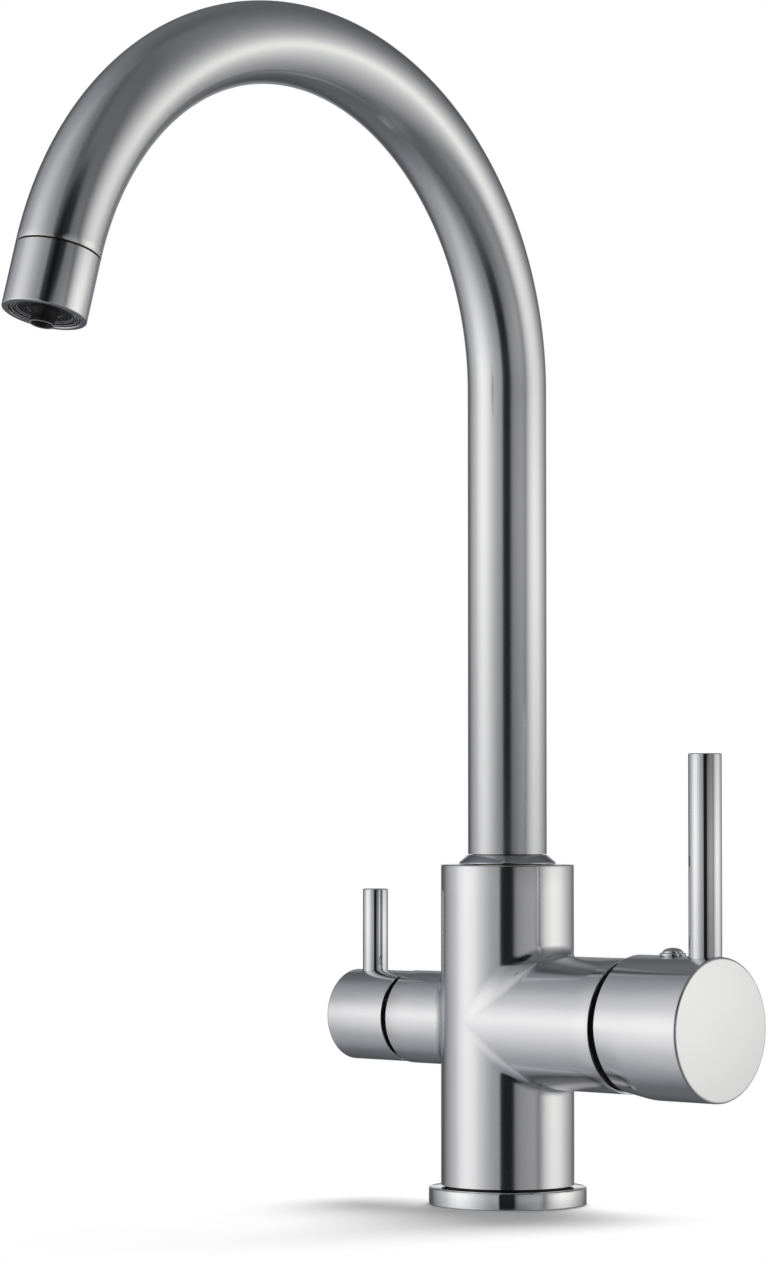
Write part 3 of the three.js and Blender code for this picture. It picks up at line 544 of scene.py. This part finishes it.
EDGE = 0.5
RIM_EDGE = 0.2
FOOT_EDGE = RING_H + GAP + 0.4
SPOUT_SOCKET = [(15.5, BODY_TOP), (15.3, BODY_TOP - 0.2), (15.3, 104.8), (12.5, 104.8), (12.5, 82)]
CARTRIDGE_CHAMBER = [
    (20.25, MIXER_RIM), (20.1, MIXER_RIM - 0.15), (20.1, 48), (19.2, 48), (19.2, 36), (17.7, 36),
    (17.7, 14)]
VALVE_CHAMBER = [(10.7, FILTER_RIM), (10.5, FILTER_RIM - 0.2), (10.5, 20), (8.5, 20), (8.5, 16)]
ENDS = [
    (COLUMN, SKIN_TOP, [*arc((BODY_R - EDGE, BODY_TOP - EDGE), EDGE, 0, 90), *SPOUT_SOCKET]),
    (COLUMN, SKIN_FOOT, [(BODY_R, FOOT_EDGE), (FOOT_R, FOOT_EDGE), (FOOT_R, 0.3), (FOOT_R - 0.3, 0)]),
    (MIXER, SKIN_MIXER, [
        *arc((MIXER_BOSS_R - RIM_EDGE, MIXER_RIM - RIM_EDGE), RIM_EDGE, 0, 90), *CARTRIDGE_CHAMBER]),
    (FILTER, SKIN_FILTER, [
        *arc((FILTER_BOSS_R - RIM_EDGE, FILTER_RIM - RIM_EDGE), RIM_EDGE, 0, 90), *VALVE_CHAMBER]),
]
for place, height, outline in ENDS:
    draw_out(skin, rim_at(skin, place, height), outline, place)
bmesh.ops.recalc_face_normals(skin, faces=skin.faces)
print("casting is closed:", all(edge.is_manifold for edge in skin.edges))

# %% [markdown]
# The sockets in the foot, the waterways above them and the spout's screw hole are drilled on the real
# tap, and here too: each is a round cutter that a Boolean takes away. The faces from the groove down are
# painted near black, as painted shade, so that the groove over the base ring shows as a dark line.

# %% Sockets and screw hole
def drill(radius, start, stop, sides=48):
    """A straight round cutter between two points."""
    start, stop = Vector(start), Vector(stop)
    way = stop - start
    turn = way.to_track_quat("Z", "Y").to_matrix().to_4x4()
    bm = bmesh.new()
    bmesh.ops.create_cone(bm, cap_ends=True, segments=sides, radius1=radius, radius2=radius,
                          depth=way.length, matrix=Matrix.Translation((start + stop) / 2) @ turn)
    return bm


def bored(bm, cutters):
    """Takes the cutters away from a mesh, all in millimetres."""
    holders = [mesh_object(f"bore_{index}", source) for index, source in enumerate([bm, *cutters])]
    for cutter in holders[1:]:
        cut = holders[0].modifiers.new("cut", "BOOLEAN")
        cut.object = cutter
        cut.solver = "EXACT"
    graph = bpy.context.evaluated_depsgraph_get()
    result = bmesh.new()
    result.from_mesh(holders[0].evaluated_get(graph).to_mesh())
    for holder in holders:
        bpy.data.objects.remove(holder)
    return result


HOT, COLD, FILTERED = (8.5, 7), (8.5, -7), (-11.5, 0)
STUDS = [(-5, 12), (-5, -12)]
SCREW_Z = 93
BELOW_FOOT = -1
upright = [(*spot, 4.6, 14) for spot in (HOT, COLD, FILTERED)]
upright += [(*spot, 2.5, 12) for spot in STUDS]
upright += [(*HOT, 2.8, 60.3), (*COLD, 2.8, 60.3), (*FILTERED, 2.4, BRANCH_Z)]
cutters = [drill(radius, (x, y, BELOW_FOOT), (x, y, top)) for x, y, radius, top in upright]
cutters.append(drill(2.6, (0, 11.9, SCREW_Z), (0, 22, SCREW_Z)))
shell = bored(skin, cutters)
for face in shell.faces:
    middle = face.calc_center_median()
    face.material_index = int(middle.z < FOOT_EDGE + 0.05 and middle.xy.length < BODY_R - 0.1)
body_shell = finish("body_shell", shell, COLUMN, "tap_body",
                    [nickel_round_column, foot_painted_shade], ["body_casting"])
print("body shell", [round(c * 1000, 1) for c in body_shell.dimensions])

# %% [markdown]
# ## The foot
#
# The base ring is polished bright, so it needs a clean outline: a flat foot, straight sides and small
# rounded edges. Its groove for the seal is underneath. Only the outer edges are rounded, because the
# inner one must stay close to the column.

# %% Base ring and gasket
ring_outline = [
    (FOOT_R + GAP, 0), (21.2, 0), (21.2, 2.4), (23.6, 2.4), (23.6, 0), (RING_R, 0),
    (RING_R, RING_H), (FOOT_R + GAP, RING_H)]
ring = soften(spun(ring_outline), 0.5, keep=lambda spot: spot.xy.length > RING_R - 0.5)
finish("base_flange", ring, COLUMN, "tap_body", [chrome], ["base_ring"])
gasket_outline = [(21.5, 0), (23.3, 0), (23.3, 2.1), (21.5, 2.1)]
finish("base_seal_ring", soften(spun(gasket_outline), 0.3), COLUMN, "tap_body", [rubber],
       ["base_gasket"])

# %% [markdown]
# ## The screw in the back
#
# A small screw goes in through the back of the body and keeps the spout in its socket. It is turned like
# the rest, with a round recess in its head.

# %% Spout retaining screw
screw_axis = Matrix.Translation((0, 0, SCREW_Z)) @ Matrix.Rotation(-math.pi / 2, 4, "X")
screw_outline = [
    (0, 11.2), (1.5, 11.2), (1.5, 12.4), (2.3, 13), (2.3, 20.4), (1.3, 20.4), (1.3, 17.4), (0, 17.4)]
finish("spout_grub_screw", soften(spun(screw_outline, 48), 0.15), screw_axis, "tap_body",
       [steel], ["spout_retaining_screw"])

# %% [markdown]
# ## The swan neck
#
# The spout is one drawn tube. A ring of edges is pulled straight up, and then spun round the centre of
# the bend. Its wall is given afterwards, inwards. The grain follows the tube, so the tube gets a UV map of
# its own: one way counts turns round the tube, and the other way runs along it, in metres.

# %% Spout tube
BEND_STEPS = 120


def swan_neck(radius, sides=SIDES):
    """The outside of the tube: straight up, and then round the bend."""
    bm = bmesh.new()
    bmesh.ops.create_circle(bm, cap_ends=False, segments=sides, radius=radius,
                            matrix=Matrix.Translation((0, 0, TUBE_BOTTOM)))
    made = bmesh.ops.extrude_edge_only(bm, edges=bm.edges[:])["geom"]
    top = [g for g in made if isinstance(g, bmesh.types.BMVert)]
    bmesh.ops.translate(bm, verts=top, vec=(0, 0, BEND_START - TUBE_BOTTOM))
    ring = [g for g in made if isinstance(g, bmesh.types.BMEdge) and set(top).issuperset(g.verts)]
    bmesh.ops.spin(bm, geom=top + ring, cent=(0, -BEND_R, BEND_START), axis=(1, 0, 0),
                   angle=BEND_ANGLE, steps=BEND_STEPS, use_duplicate=False)
    bmesh.ops.remove_doubles(bm, verts=bm.verts, dist=1e-4)
    bmesh.ops.recalc_face_normals(bm, faces=bm.faces)
    return bm


def tube_place(co):
    """Where a point of the tube is: its share of a turn round it, and metres along it."""
    y, z = co.y, co.z
    turn = 0.0
    if z > BEND_START or y < -BEND_R:
        turn = math.atan2(z - BEND_START, y + BEND_R) % (2 * math.pi)
        centre = Vector((0, BEND_R * math.cos(turn) - BEND_R, BEND_START + BEND_R * math.sin(turn)))
        outward = Vector((0, math.cos(turn), math.sin(turn)))
    else:
        centre, outward = Vector((0, 0, z)), Vector((0, 1, 0))
    out = (co - centre).dot(outward)
    along = z if turn == 0 else BEND_START + BEND_R * turn
    return math.atan2(co.x, out) / (2 * math.pi) + 0.5, along * MM


def map_grain(bm):
    """Gives each face its place round and along the tube, without a jump inside any face."""
    layer = bm.loops.layers.uv.new("grain")
    for face in bm.faces:
        spots = [tube_place(loop.vert.co) for loop in face.loops]
        wraps = max(s[0] for s in spots) - min(s[0] for s in spots) > 0.5
        for loop, (around, along) in zip(face.loops, spots):
            loop[layer].uv = (around + 1 if wraps and around < 0.5 else around, along)
    return bm


tube = swan_neck(TUBE_R)
bmesh.ops.solidify(tube, geom=tube.faces[:], thickness=TUBE_R - TUBE_BORE_R)
soften(tube, 0.12, segments=2, sharpest=math.radians(60))
finish("swan_neck", map_grain(tube), COLUMN, "swivel_spout", [nickel_tube],
       ["spout_tube"])
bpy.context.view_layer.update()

# %% [markdown]
# ## The collar
#
# Where the spout stands on the body there is a bevelled ring, which turns with the spout. It looks darker
# and a little softer than the foot's ring, so it gets a chrome of its own: a little rougher, and painted
# darker as painted shade for the dim light that its slope faces.

# %% Collar
collar_outline = [
    (TUBE_BORE_R, 107.5), (15.3, 107.5), (15.3, 107.9), (12.45, 110.3), (TUBE_BORE_R, 110.3)]
finish("bevelled_collar", soften(spun(collar_outline), 0.15), COLUMN, "swivel_spout",
       [collar_chrome_painted_shade], ["spout_collar"])

# %% [markdown]
# ## The mixer lever
#
# The large cap is a cup with a flat end face. Low at the back it is turned down at a slant, round an axis
# that rises by ten degrees, so it thins towards its rim and swings clear of the boss. A cut with one
# plane can't make that, so each ring of the outside is lowered onto a second, tilted cylinder. The seats
# of the lever and the plug are bored last.

# %% Mixer cap
MIXER_CAP_WALL = 2.2
MIXER_CAP_END_WALL = 3.5
END_EDGE = 0.9
RELIEF_FROM = 63.0
RELIEF_SLOPE = math.tan(math.radians(10))
RELIEF_BEND = 2.0
RELIEF_RINGS = 18
RELIEF_STEP = 0.6
MIXER_ROD_AT = 80.4
MIXER_ROD_R = 5.15
INDEX_AT = 67.6
INDEX_R = 4.1


def relief_rise(along):
    """How far the tilted axis lies above the cap's own axis, with a soft start."""
    before = RELIEF_FROM + RELIEF_BEND - along
    if before <= 0:
        return 0.0
    if before < 2 * RELIEF_BEND:
        return RELIEF_SLOPE * before ** 2 / (4 * RELIEF_BEND)
    return RELIEF_SLOPE * (before - RELIEF_BEND)


def turn_down(cap, inner):
    """Lowers the outside onto the tilted cylinder. In the cap's own axes, down is +X."""
    for vert in cap.verts:
        radius = vert.co.xy.length
        if radius < inner + 0.1:
            continue
        rise = relief_rise(vert.co.z)
        up, side = -vert.co.x / radius, vert.co.y / radius
        limit = rise * up + math.sqrt(MIXER_CAP_R ** 2 - (rise * side) ** 2)
        shift = max(MIXER_CAP_R - limit, 0)
        vert.co.xy *= (radius - shift) / radius


def seat_cutter(radius, x, seat):
    """Clears the flat seat of a round piece that stands on top of a cap."""
    return drill(radius + GAP, (x, 0, BRANCH_Z + seat), (x, 0, BRANCH_Z + seat + 8), 96)


def mixer_cap():
    """The cup with its relief and its two seats."""
    inner = MIXER_CAP_R - MIXER_CAP_WALL
    inside = MIXER_CAP_FACE - MIXER_CAP_END_WALL
    first_ring = MIXER_CAP_REAR + RIM_EDGE
    cup = spun([
        (0, inside), (inner, inside), (inner, MIXER_CAP_REAR), (MIXER_CAP_R - RIM_EDGE, MIXER_CAP_REAR),
        *[(MIXER_CAP_R, first_ring + RELIEF_STEP * i) for i in range(RELIEF_RINGS)],
        (MIXER_CAP_R, MIXER_CAP_FACE - END_EDGE),
        *arc((MIXER_CAP_R - END_EDGE, MIXER_CAP_FACE - END_EDGE), END_EDGE, 15, 90, 5),
        (0, MIXER_CAP_FACE)], 192)
    turn_down(cup, inner)
    bmesh.ops.transform(cup, matrix=MIXER, verts=cup.verts)
    seats = [seat_cutter(MIXER_ROD_R, MIXER_ROD_AT, 20.6), seat_cutter(INDEX_R, INDEX_AT, 21.6)]
    return bored(cup, seats)


def face_the_end(bm, way, beyond):
    """Gives the second material to the faces that look out along X, past a place."""
    for face in bm.faces:
        looks_out = face.normal.x * way > 0.9
        face.material_index = int(looks_out and face.calc_center_median().x * way > beyond)
    return bm


# Its end face gets the lighter nickel, which is painted light.
finish("mixer_cap_shell", face_the_end(mixer_cap(), 1, 80), COLUMN, "mixer_lever",
       [nickel_round_branch, nickel_end_face_painted_light], ["mixer_cap"])

# %% [markdown]
# ## The lever rods
#
# Each lever is a plain rod with a small rounded edge at its top, set down into its cap. The rods are the
# smoothest nickel on the tap, so they show the dark gap between the lights as a sharp line.

# %% Lever rods
FILTER_ROD_AT = -57.4
FILTER_ROD_R = 4.1


def lever_rod(radius, seat, top):
    """A rod from its seat to its top, measured from the branch's axis."""
    return soften(spun([(0, seat), (radius, seat), (radius, top), (0, top)], 64), 0.45)


def up_at(x):
    """An upright axis that starts on the branches' axis."""
    return Matrix.Translation((x, 0, BRANCH_Z))


finish("mixer_lever", lever_rod(MIXER_ROD_R, 13.1, 84.2), up_at(MIXER_ROD_AT), "mixer_lever",
       [nickel_rod], ["mixer_lever_rod"])
finish("filter_lever", lever_rod(FILTER_ROD_R, 8.6, 40.9), up_at(FILTER_ROD_AT), "filter_lever",
       [nickel_rod], ["filter_lever_rod"])

# %% [markdown]
# ## The index plug
#
# A small domed plug covers the screw that holds the large cap. It has a round lip, a neck above it and a
# low dome, so its outline is an arc and a few points of a curve.

# %% Index plug
plug_outline = [
    (0, 17), (2.6, 17), (2.6, 21.9), (3.7, 21.9), *arc((3.5, 22.55), 0.6, -60, 75, 10), (3.3, 23.05),
    (3.25, 23.3), (3.1, 23.65), (2.7, 24.05), (1.9, 24.42), (1, 24.63), (0, 24.7)]
finish("index_plug", spun(plug_outline, 64), up_at(INDEX_AT), "mixer_lever",
       [chrome], ["mixer_index_plug"])

# %% [markdown]
# ## The bonnet
#
# Between the boss and the cap there is an even slot, and what shows in it is the bonnet, painted black as
# painted shade for the slot. It is part of a ball round the point that the lever tilts on, so the slot
# stays closed at any tilt.

# %% Bonnet
PIVOT_X = 43.0
BALL_R = 19.2
BALL_INNER_R = 17.8
bonnet_outline = [
    (19.8, 48.3), (19.8, 50.2), *arc((0, PIVOT_X), BALL_R, 22.1, 50.2, 10),
    *arc((0, PIVOT_X), BALL_INNER_R, 46.3, 17.4, 10)]
# Its black is painted shade, so that the slot shows black.
finish("bonnet_dome", soften(spun(bonnet_outline), 0.15), MIXER, "tap_body",
       [black_plastic], ["mixer_bonnet"])

# %% [markdown]
# ## The filter lever
#
# The small cap is a cup too, with a hub inside it that slides over the valve's spindle. It has no relief,
# because it only turns.

# %% Filter cap
def filter_cap():
    """The small cup with its hub."""
    inner, inside = FILTER_CAP_R - 2, FILTER_CAP_FACE - 2.8
    hub, hub_rear = 7.5, 50.5
    spindle, spindle_end = 4.3, 57
    edge = 0.8
    return spun([
        (0, spindle_end), (spindle, spindle_end), (spindle, hub_rear), (hub, hub_rear), (hub, inside),
        (inner, inside), (inner, FILTER_CAP_REAR), (FILTER_CAP_R - RIM_EDGE, FILTER_CAP_REAR),
        (FILTER_CAP_R, FILTER_CAP_REAR + RIM_EDGE), (FILTER_CAP_R, FILTER_CAP_FACE - edge),
        *arc((FILTER_CAP_R - edge, FILTER_CAP_FACE - edge), edge, 15, 90, 5),
        (0, FILTER_CAP_FACE)], 160)


small_cap = filter_cap()
bmesh.ops.transform(small_cap, matrix=FILTER, verts=small_cap.verts)
small_cap = bored(small_cap, [seat_cutter(FILTER_ROD_R, FILTER_ROD_AT, 13.6)])
finish("filter_cap_shell", face_the_end(small_cap, -1, 60), COLUMN, "filter_lever",
       [nickel_round_branch, nickel_end_face_painted_light], ["filter_cap"])

# %% [markdown]
# ## The nozzle
#
# The sleeve is as thick as the spout, with only a fine line between them. In its mouth sit a black
# aerator ring, a plate of small holes for the mixed water, and in the middle a flared black pipe for the
# filtered water. The black pieces get greyer edges, a painted highlight on their rims, since without them
# nothing shows in there.

# %% Sleeve
SLEEVE_BORE_R = 10.5
sleeve_outline = [
    (TUBE_BORE_R, 0.35), (TUBE_R - 0.3, 0.35), (TUBE_R, 0.6), (TUBE_R, NOZZLE_L - EDGE),
    *arc((TUBE_R - EDGE, NOZZLE_L - EDGE), EDGE, 20, 90, 4), (10.8, NOZZLE_L),
    (SLEEVE_BORE_R, NOZZLE_L - 0.3), (SLEEVE_BORE_R, 8.5), (TUBE_BORE_R, 8.5)]
nickel_nozzle = brushed("nickel_nozzle", NICKEL, 0.15, (ACROSS * 0.3, ACROSS * 0.3, ALONG))
finish("nozzle_cover", spun(sleeve_outline), NOZZLE, "swivel_spout", [nickel_nozzle],
       ["nozzle_sleeve"])

# %% Aerator ring and outlet
AERATOR_R = 10.2
OUTLET_END = 22.5
housing_outline = [
    (7.8, 9.9), (AERATOR_R, 9.9), (AERATOR_R, 19.2), (9.4, 19.2), (9.4, 11.5), (7.8, 11.5)]
finish("aerator_ring", soften(spun(housing_outline), 0.2, slot=1), NOZZLE, "swivel_spout",
       [nozzle_black, edges_painted_highlight], ["aerator_housing"])
outlet_outline = [
    (1.5, 1), (2.2, 1), (2.2, 9), (4.6, 10.5), (4.6, 18.3), (4, 18.7), (3.7, 19.6), (3.5, 20.8),
    (3.75, OUTLET_END), (3.35, OUTLET_END), (2.5, 20), (2.5, 12), (1.5, 9.5)]
outlet = soften(spun(outlet_outline, 64), 0.17, keep=lambda spot: spot.z > OUTLET_END - 0.1, slot=1)
finish("filtered_outlet", outlet, NOZZLE, "swivel_spout", [nozzle_black, edges_painted_highlight],
       ["filter_outlet"])

# %% Aerator plate
HOLE_R = 0.36
HOLE_RINGS = [(14, 5.6), (22, 6.6), (28, 7.6)]


def aerator_plate():
    """A shallow ring full of holes. Each ring of holes is (how many, on which radius)."""
    rim = [(9.1, 15.2), (9.1, 18.9), (8.2, 18.9), (8.2, 18.3), (4.9, 18.3), (4.9, 15.2)]
    plate = soften(spun(rim, 96), 0.15, slot=1)
    holes = []
    for count, radius in HOLE_RINGS:
        for index in range(count):
            turn = index / count * 2 * math.pi
            spot = (radius * math.cos(turn), radius * math.sin(turn))
            holes.append(drill(HOLE_R, (*spot, 15), (*spot, 19), 8))
    return bored(plate, holes)


finish("aerator_plate", aerator_plate(), NOZZLE, "swivel_spout",
       [black_plastic, edges_painted_highlight], ["aerator_insert"])

# %% [markdown]
# ## The room
#
# The background is plain white. It comes from the world, at full strength only where it is looked at,
# straight or in a mirror. The light that the world sheds on matt things is less than half as strong.

# %% World
SKY_ON_OBJECT = 0.45


def ranged(tree, value, start, stop, low=0.0, high=1.0, easing="SMOOTHSTEP"):
    """Turns a value between start and stop into one between low and high."""
    inputs = {"Value": value, "From Min": start, "From Max": stop, "To Min": low, "To Max": high}
    return add_node(tree, "ShaderNodeMapRange", inputs, interpolation_type=easing).outputs["Result"]


scene.view_settings.view_transform = "Standard"
world = bpy.data.worlds.new("studio")
scene.world = world
world.use_nodes = True
sky = world.node_tree.nodes["Background"]
path = add_node(world.node_tree, "ShaderNodeLightPath").outputs
seen = calc(world.node_tree, "MAXIMUM", path["Is Camera Ray"], path["Is Glossy Ray"])
seen = calc(world.node_tree, "MAXIMUM", seen, path["Is Transmission Ray"])
level = ranged(world.node_tree, seen, 0, 1, SKY_ON_OBJECT, 1, "LINEAR")
world.node_tree.links.new(level, sky.inputs["Strength"])
sky.inputs["Color"].default_value = (1, 1, 1, 1)
print("world has", len(world.node_tree.nodes), "nodes")

# %% [markdown]
# ## The floor
#
# The floor is a pale disc that keeps the tap's shadow. For the camera it turns to plain white outside an
# oval round the foot, so that its far edge doesn't show as a line across the picture. This white is also
# painted light over the shadow's outer part, so the shadow ends in that oval.

# %% Floor
FLOOR_R = 0.9
OVAL_X = 0.08
OVAL_Y = 0.19
floor_disc = bmesh.new()
bmesh.ops.create_circle(floor_disc, cap_ends=True, segments=96, radius=FLOOR_R)
floor = mesh_object("floor", floor_disc)
floor.visible_glossy = False
paper, tree, shader = new_material("paper")
shader.inputs["Base Color"].default_value = (0.92, 0.92, 0.92, 1)
shader.inputs["Roughness"].default_value = 0.9
shader.inputs["Specular IOR Level"].default_value = 0.0
spot = add_node(tree, "ShaderNodeTexCoord")
oval = add_node(tree, "ShaderNodeMapping",
                {"Vector": spot.outputs["Object"], "Scale": (1 / OVAL_X, 1 / OVAL_Y, 0)})
far = add_node(tree, "ShaderNodeVectorMath", {0: oval.outputs["Vector"]}, operation="LENGTH")
fade = ranged(tree, far.outputs["Value"], 0.45, 1.15)
# This white also paints light over the shadow's outer part, so the shadow ends in an oval.
white = add_node(tree, "ShaderNodeEmission", {"Color": (1, 1, 1, 1), "Strength": 1.0})
view = add_node(tree, "ShaderNodeLightPath")
faded = calc(tree, "MULTIPLY", fade, view.outputs["Is Camera Ray"])
blend = add_node(tree, "ShaderNodeMixShader",
                 {"Fac": faded, 1: shader.outputs["BSDF"], 2: white.outputs["Emission"]})
tree.links.new(blend.outputs["Shader"], tree.nodes["Material Output"].inputs["Surface"])
floor.data.materials.append(paper)
print("floor is", 2 * FLOOR_R, "m across")

# %% [markdown]
# ## The walls of light
#
# Bare metal only shows what stands round it, so the set matters as much as the finish. Two tall soft
# walls of light stand on either side, with a dark gap between them where the camera is, and dark again
# behind. They are painted on the inside of one large ball that only reflections see. One ramp says how
# bright the ball is on the way round, and two more say how it fades up and down, because the right wall
# fades faster than the left one. To these come a faint haze above and below, a little light low on both
# sides, a soft glow behind, a darker patch high in front, and a small card behind that lights the flat
# top of the foot. The dim parts are cool and the bright ones neutral, a little warmer on the right.

# %% How bright the walls are
LEVELS_ROUND = [
    (-180, 0.12), (-150, 0.12), (-143, 0.15), (-136, 0.27), (-120, 0.48), (-102, 0.68), (-91, 0.95),
    (-76, 1.12), (-61, 1.02), (-49, 0.78), (-40, 0.64), (-31, 0.5), (-22, 0.42), (-14, 0.42),
    (-12, 0.018), (9, 0.018), (14, 0.26), (22, 0.34), (45, 0.42), (50, 0.38), (54, 0.26), (58, 0.36),
    (63, 0.6), (72, 0.88), (84, 1.08), (94, 1.05), (104, 0.97), (112, 0.79), (124, 0.58), (140, 0.37),
    (152, 0.2), (170, 0.12)]
LEVELS_UP_LEFT = [
    (-90, 0.1), (-65, 0.2), (-55, 0.27), (-45, 0.34), (-35, 0.45), (-25, 0.61), (-15, 0.8), (0, 1.0),
    (5, 1.0), (15, 0.885), (25, 0.68), (35, 0.56), (45, 0.42), (55, 0.345), (65, 0.26), (75, 0.12),
    (90, 0.05)]
LEVELS_UP_RIGHT = [
    (-90, 0.05), (-65, 0.06), (-55, 0.13), (-45, 0.2), (-35, 0.33), (-25, 0.47), (-15, 0.67),
    (-5, 0.93), (0, 1.0), (5, 0.9), (15, 0.605), (25, 0.415), (35, 0.26), (45, 0.16), (55, 0.115),
    (65, 0.08), (90, 0.05)]
HAZE_RIGHT, HAZE_LEFT = 0.1, 0.15
LOW_RIGHT, LOW_LEFT = 0.09, 0.06
TINT_SPAN = 1.3
WARMER_RIGHT = 0.3
TINT_BY_LEVEL = [
    (0, (0.87, 0.91, 1)), (0.3, (0.9, 0.935, 1)), (0.5, (0.955, 0.965, 1)), (0.75, (0.99, 0.99, 1)),
    (1, (1, 1, 1)), (TINT_SPAN, (1, 0.997, 0.96))]
BEHIND_WAY = (0, -0.994, 0.105)
DARK_WAY = (-0.21, 0.84, 0.5)
CARD_WAY = (0, -0.998, 0.0615)
print(len(LEVELS_ROUND), "levels on the way round")


# %% Nodes for the walls
def round_share(angle):
    """Where an angle on the way round lies on its ramp. 0 is the camera, and 90 the viewer's right."""
    return (angle + 180) / 360


def height_share(angle):
    """Where an angle up or down lies on its ramp."""
    return (math.sin(math.radians(angle)) + 1) / 2


def tint_share(level):
    """Where a brightness lies on its ramp."""
    return level / TINT_SPAN


def ramp_of(tree, stops, share, socket):
    """A colour ramp through levels or colours."""
    node = add_node(tree, "ShaderNodeValToRGB", {"Fac": socket})
    ramp = node.color_ramp
    ramp.interpolation = "LINEAR"
    while len(ramp.elements) < len(stops):
        ramp.elements.new(0.5)
    for element, (at, value) in zip(ramp.elements, stops):
        element.position = share(at)
        element.color = (*value, 1) if isinstance(value, tuple) else (value, value, value, 1)
    return node.outputs["Color"]


def nearness(tree, way, direction):
    """How near a direction is to another one, where 1 is straight at it."""
    inputs = {0: way, 1: direction}
    return add_node(tree, "ShaderNodeVectorMath", inputs, operation="DOT_PRODUCT").outputs["Value"]


def wall_light(tree, x, y, z, left):
    """The two walls with the haze and the low light beside them."""
    turn = ranged(tree, calc(tree, "ARCTAN2", x, y), math.pi, -math.pi, easing="LINEAR")
    height = ranged(tree, z, -1, 1, easing="LINEAR")
    around = ramp_of(tree, LEVELS_ROUND, round_share, turn)
    up_left = ramp_of(tree, LEVELS_UP_LEFT, height_share, height)
    up_right = ramp_of(tree, LEVELS_UP_RIGHT, height_share, height)
    upward = add_node(tree, "ShaderNodeMix", {"Factor": left, "A": up_right, "B": up_left},
                      data_type="FLOAT").outputs["Result"]
    haze_most = ranged(tree, left, 0, 1, HAZE_RIGHT, HAZE_LEFT, "LINEAR")
    haze = ranged(tree, calc(tree, "ABSOLUTE", z), 0.25, 0.8, 0, haze_most)
    walls = calc(tree, "ADD", calc(tree, "MULTIPLY", around, upward), haze)
    low_most = ranged(tree, left, 0, 1, LOW_RIGHT, LOW_LEFT, "LINEAR")
    low = ranged(tree, z, -0.12, -0.4, 0, low_most)
    beside = ranged(tree, calc(tree, "ABSOLUTE", x), 0.3, 0.7)
    return calc(tree, "MULTIPLY_ADD", low, beside, walls)


def light_wall_material():
    """Light that depends only on the way it comes from. +Y is the camera, and +X the viewer's left."""
    material, tree, shader = new_material("light_walls")
    tree.nodes.remove(shader)
    where = add_node(tree, "ShaderNodeTexCoord").outputs["Object"]
    way = add_node(tree, "ShaderNodeVectorMath", {0: where}, operation="NORMALIZE").outputs["Vector"]
    x, y, z = add_node(tree, "ShaderNodeSeparateXYZ", {0: way}).outputs
    left = ranged(tree, x, -0.6, 0.6)
    walls = wall_light(tree, x, y, z, left)
    behind = ranged(tree, nearness(tree, way, BEHIND_WAY), 0.9, 0.97, 0, 0.18)
    dark = ranged(tree, nearness(tree, way, DARK_WAY), 0.95, 0.985, 1, 0.12)
    card = ranged(tree, nearness(tree, way, CARD_WAY), 0.9975, 0.9992, 0, 0.5)
    total = calc(tree, "ADD", calc(tree, "MULTIPLY_ADD", walls, dark, behind), card)
    warmer = ranged(tree, left, 0, 1, WARMER_RIGHT / TINT_SPAN, 0, "LINEAR")
    warmth = calc(tree, "MULTIPLY_ADD", total, 1 / TINT_SPAN, warmer)
    tint = ramp_of(tree, TINT_BY_LEVEL, tint_share, warmth)
    glow = add_node(tree, "ShaderNodeEmission", {"Color": tint, "Strength": total})
    tree.links.new(glow.outputs["Emission"], tree.nodes["Material Output"].inputs["Surface"])
    return material


wall_paint = light_wall_material()
print("wall light has", len(wall_paint.node_tree.nodes), "nodes")

# %% The ball of walls
WALLS_R = 4.0
EYE_LEVEL = 0.13
ball = bmesh.new()
bmesh.ops.create_uvsphere(ball, u_segments=96, v_segments=48, radius=WALLS_R)
walls = mesh_object("light_walls", ball)
walls.data.materials.append(wall_paint)
walls.location.z = EYE_LEVEL
walls.rotation_euler.z = VIEW_AZIMUTH - math.pi
walls.visible_camera = False
walls.visible_diffuse = False
walls.visible_shadow = False
print("walls stand", WALLS_R, "m away")

# %% [markdown]
# ## The lamp
#
# One soft round lamp hangs behind the tap, high enough to give a short shadow that falls towards the
# camera. Metal doesn't mirror it, because the walls already make all the highlights.

# %% Lamp
LAMP_BACK, LAMP_RIGHT, LAMP_UP, LAMP_SIZE = 0.58, 0.07, 0.8, 0.6
lamp = bpy.data.objects.new("overhead", bpy.data.lights.new("overhead", "AREA"))
lamp.data.shape = "DISK"
lamp.data.size = LAMP_SIZE
lamp.data.energy = 9.9
lamp.location = Matrix.Rotation(VIEW_AZIMUTH, 3, "Z") @ Vector((LAMP_RIGHT, LAMP_BACK, LAMP_UP))
lamp.rotation_euler = (-lamp.location).to_track_quat("-Z", "Y").to_euler()
lamp.visible_glossy = False
scene.collection.objects.link(lamp)
print("lamp at", [round(c, 2) for c in lamp.location])
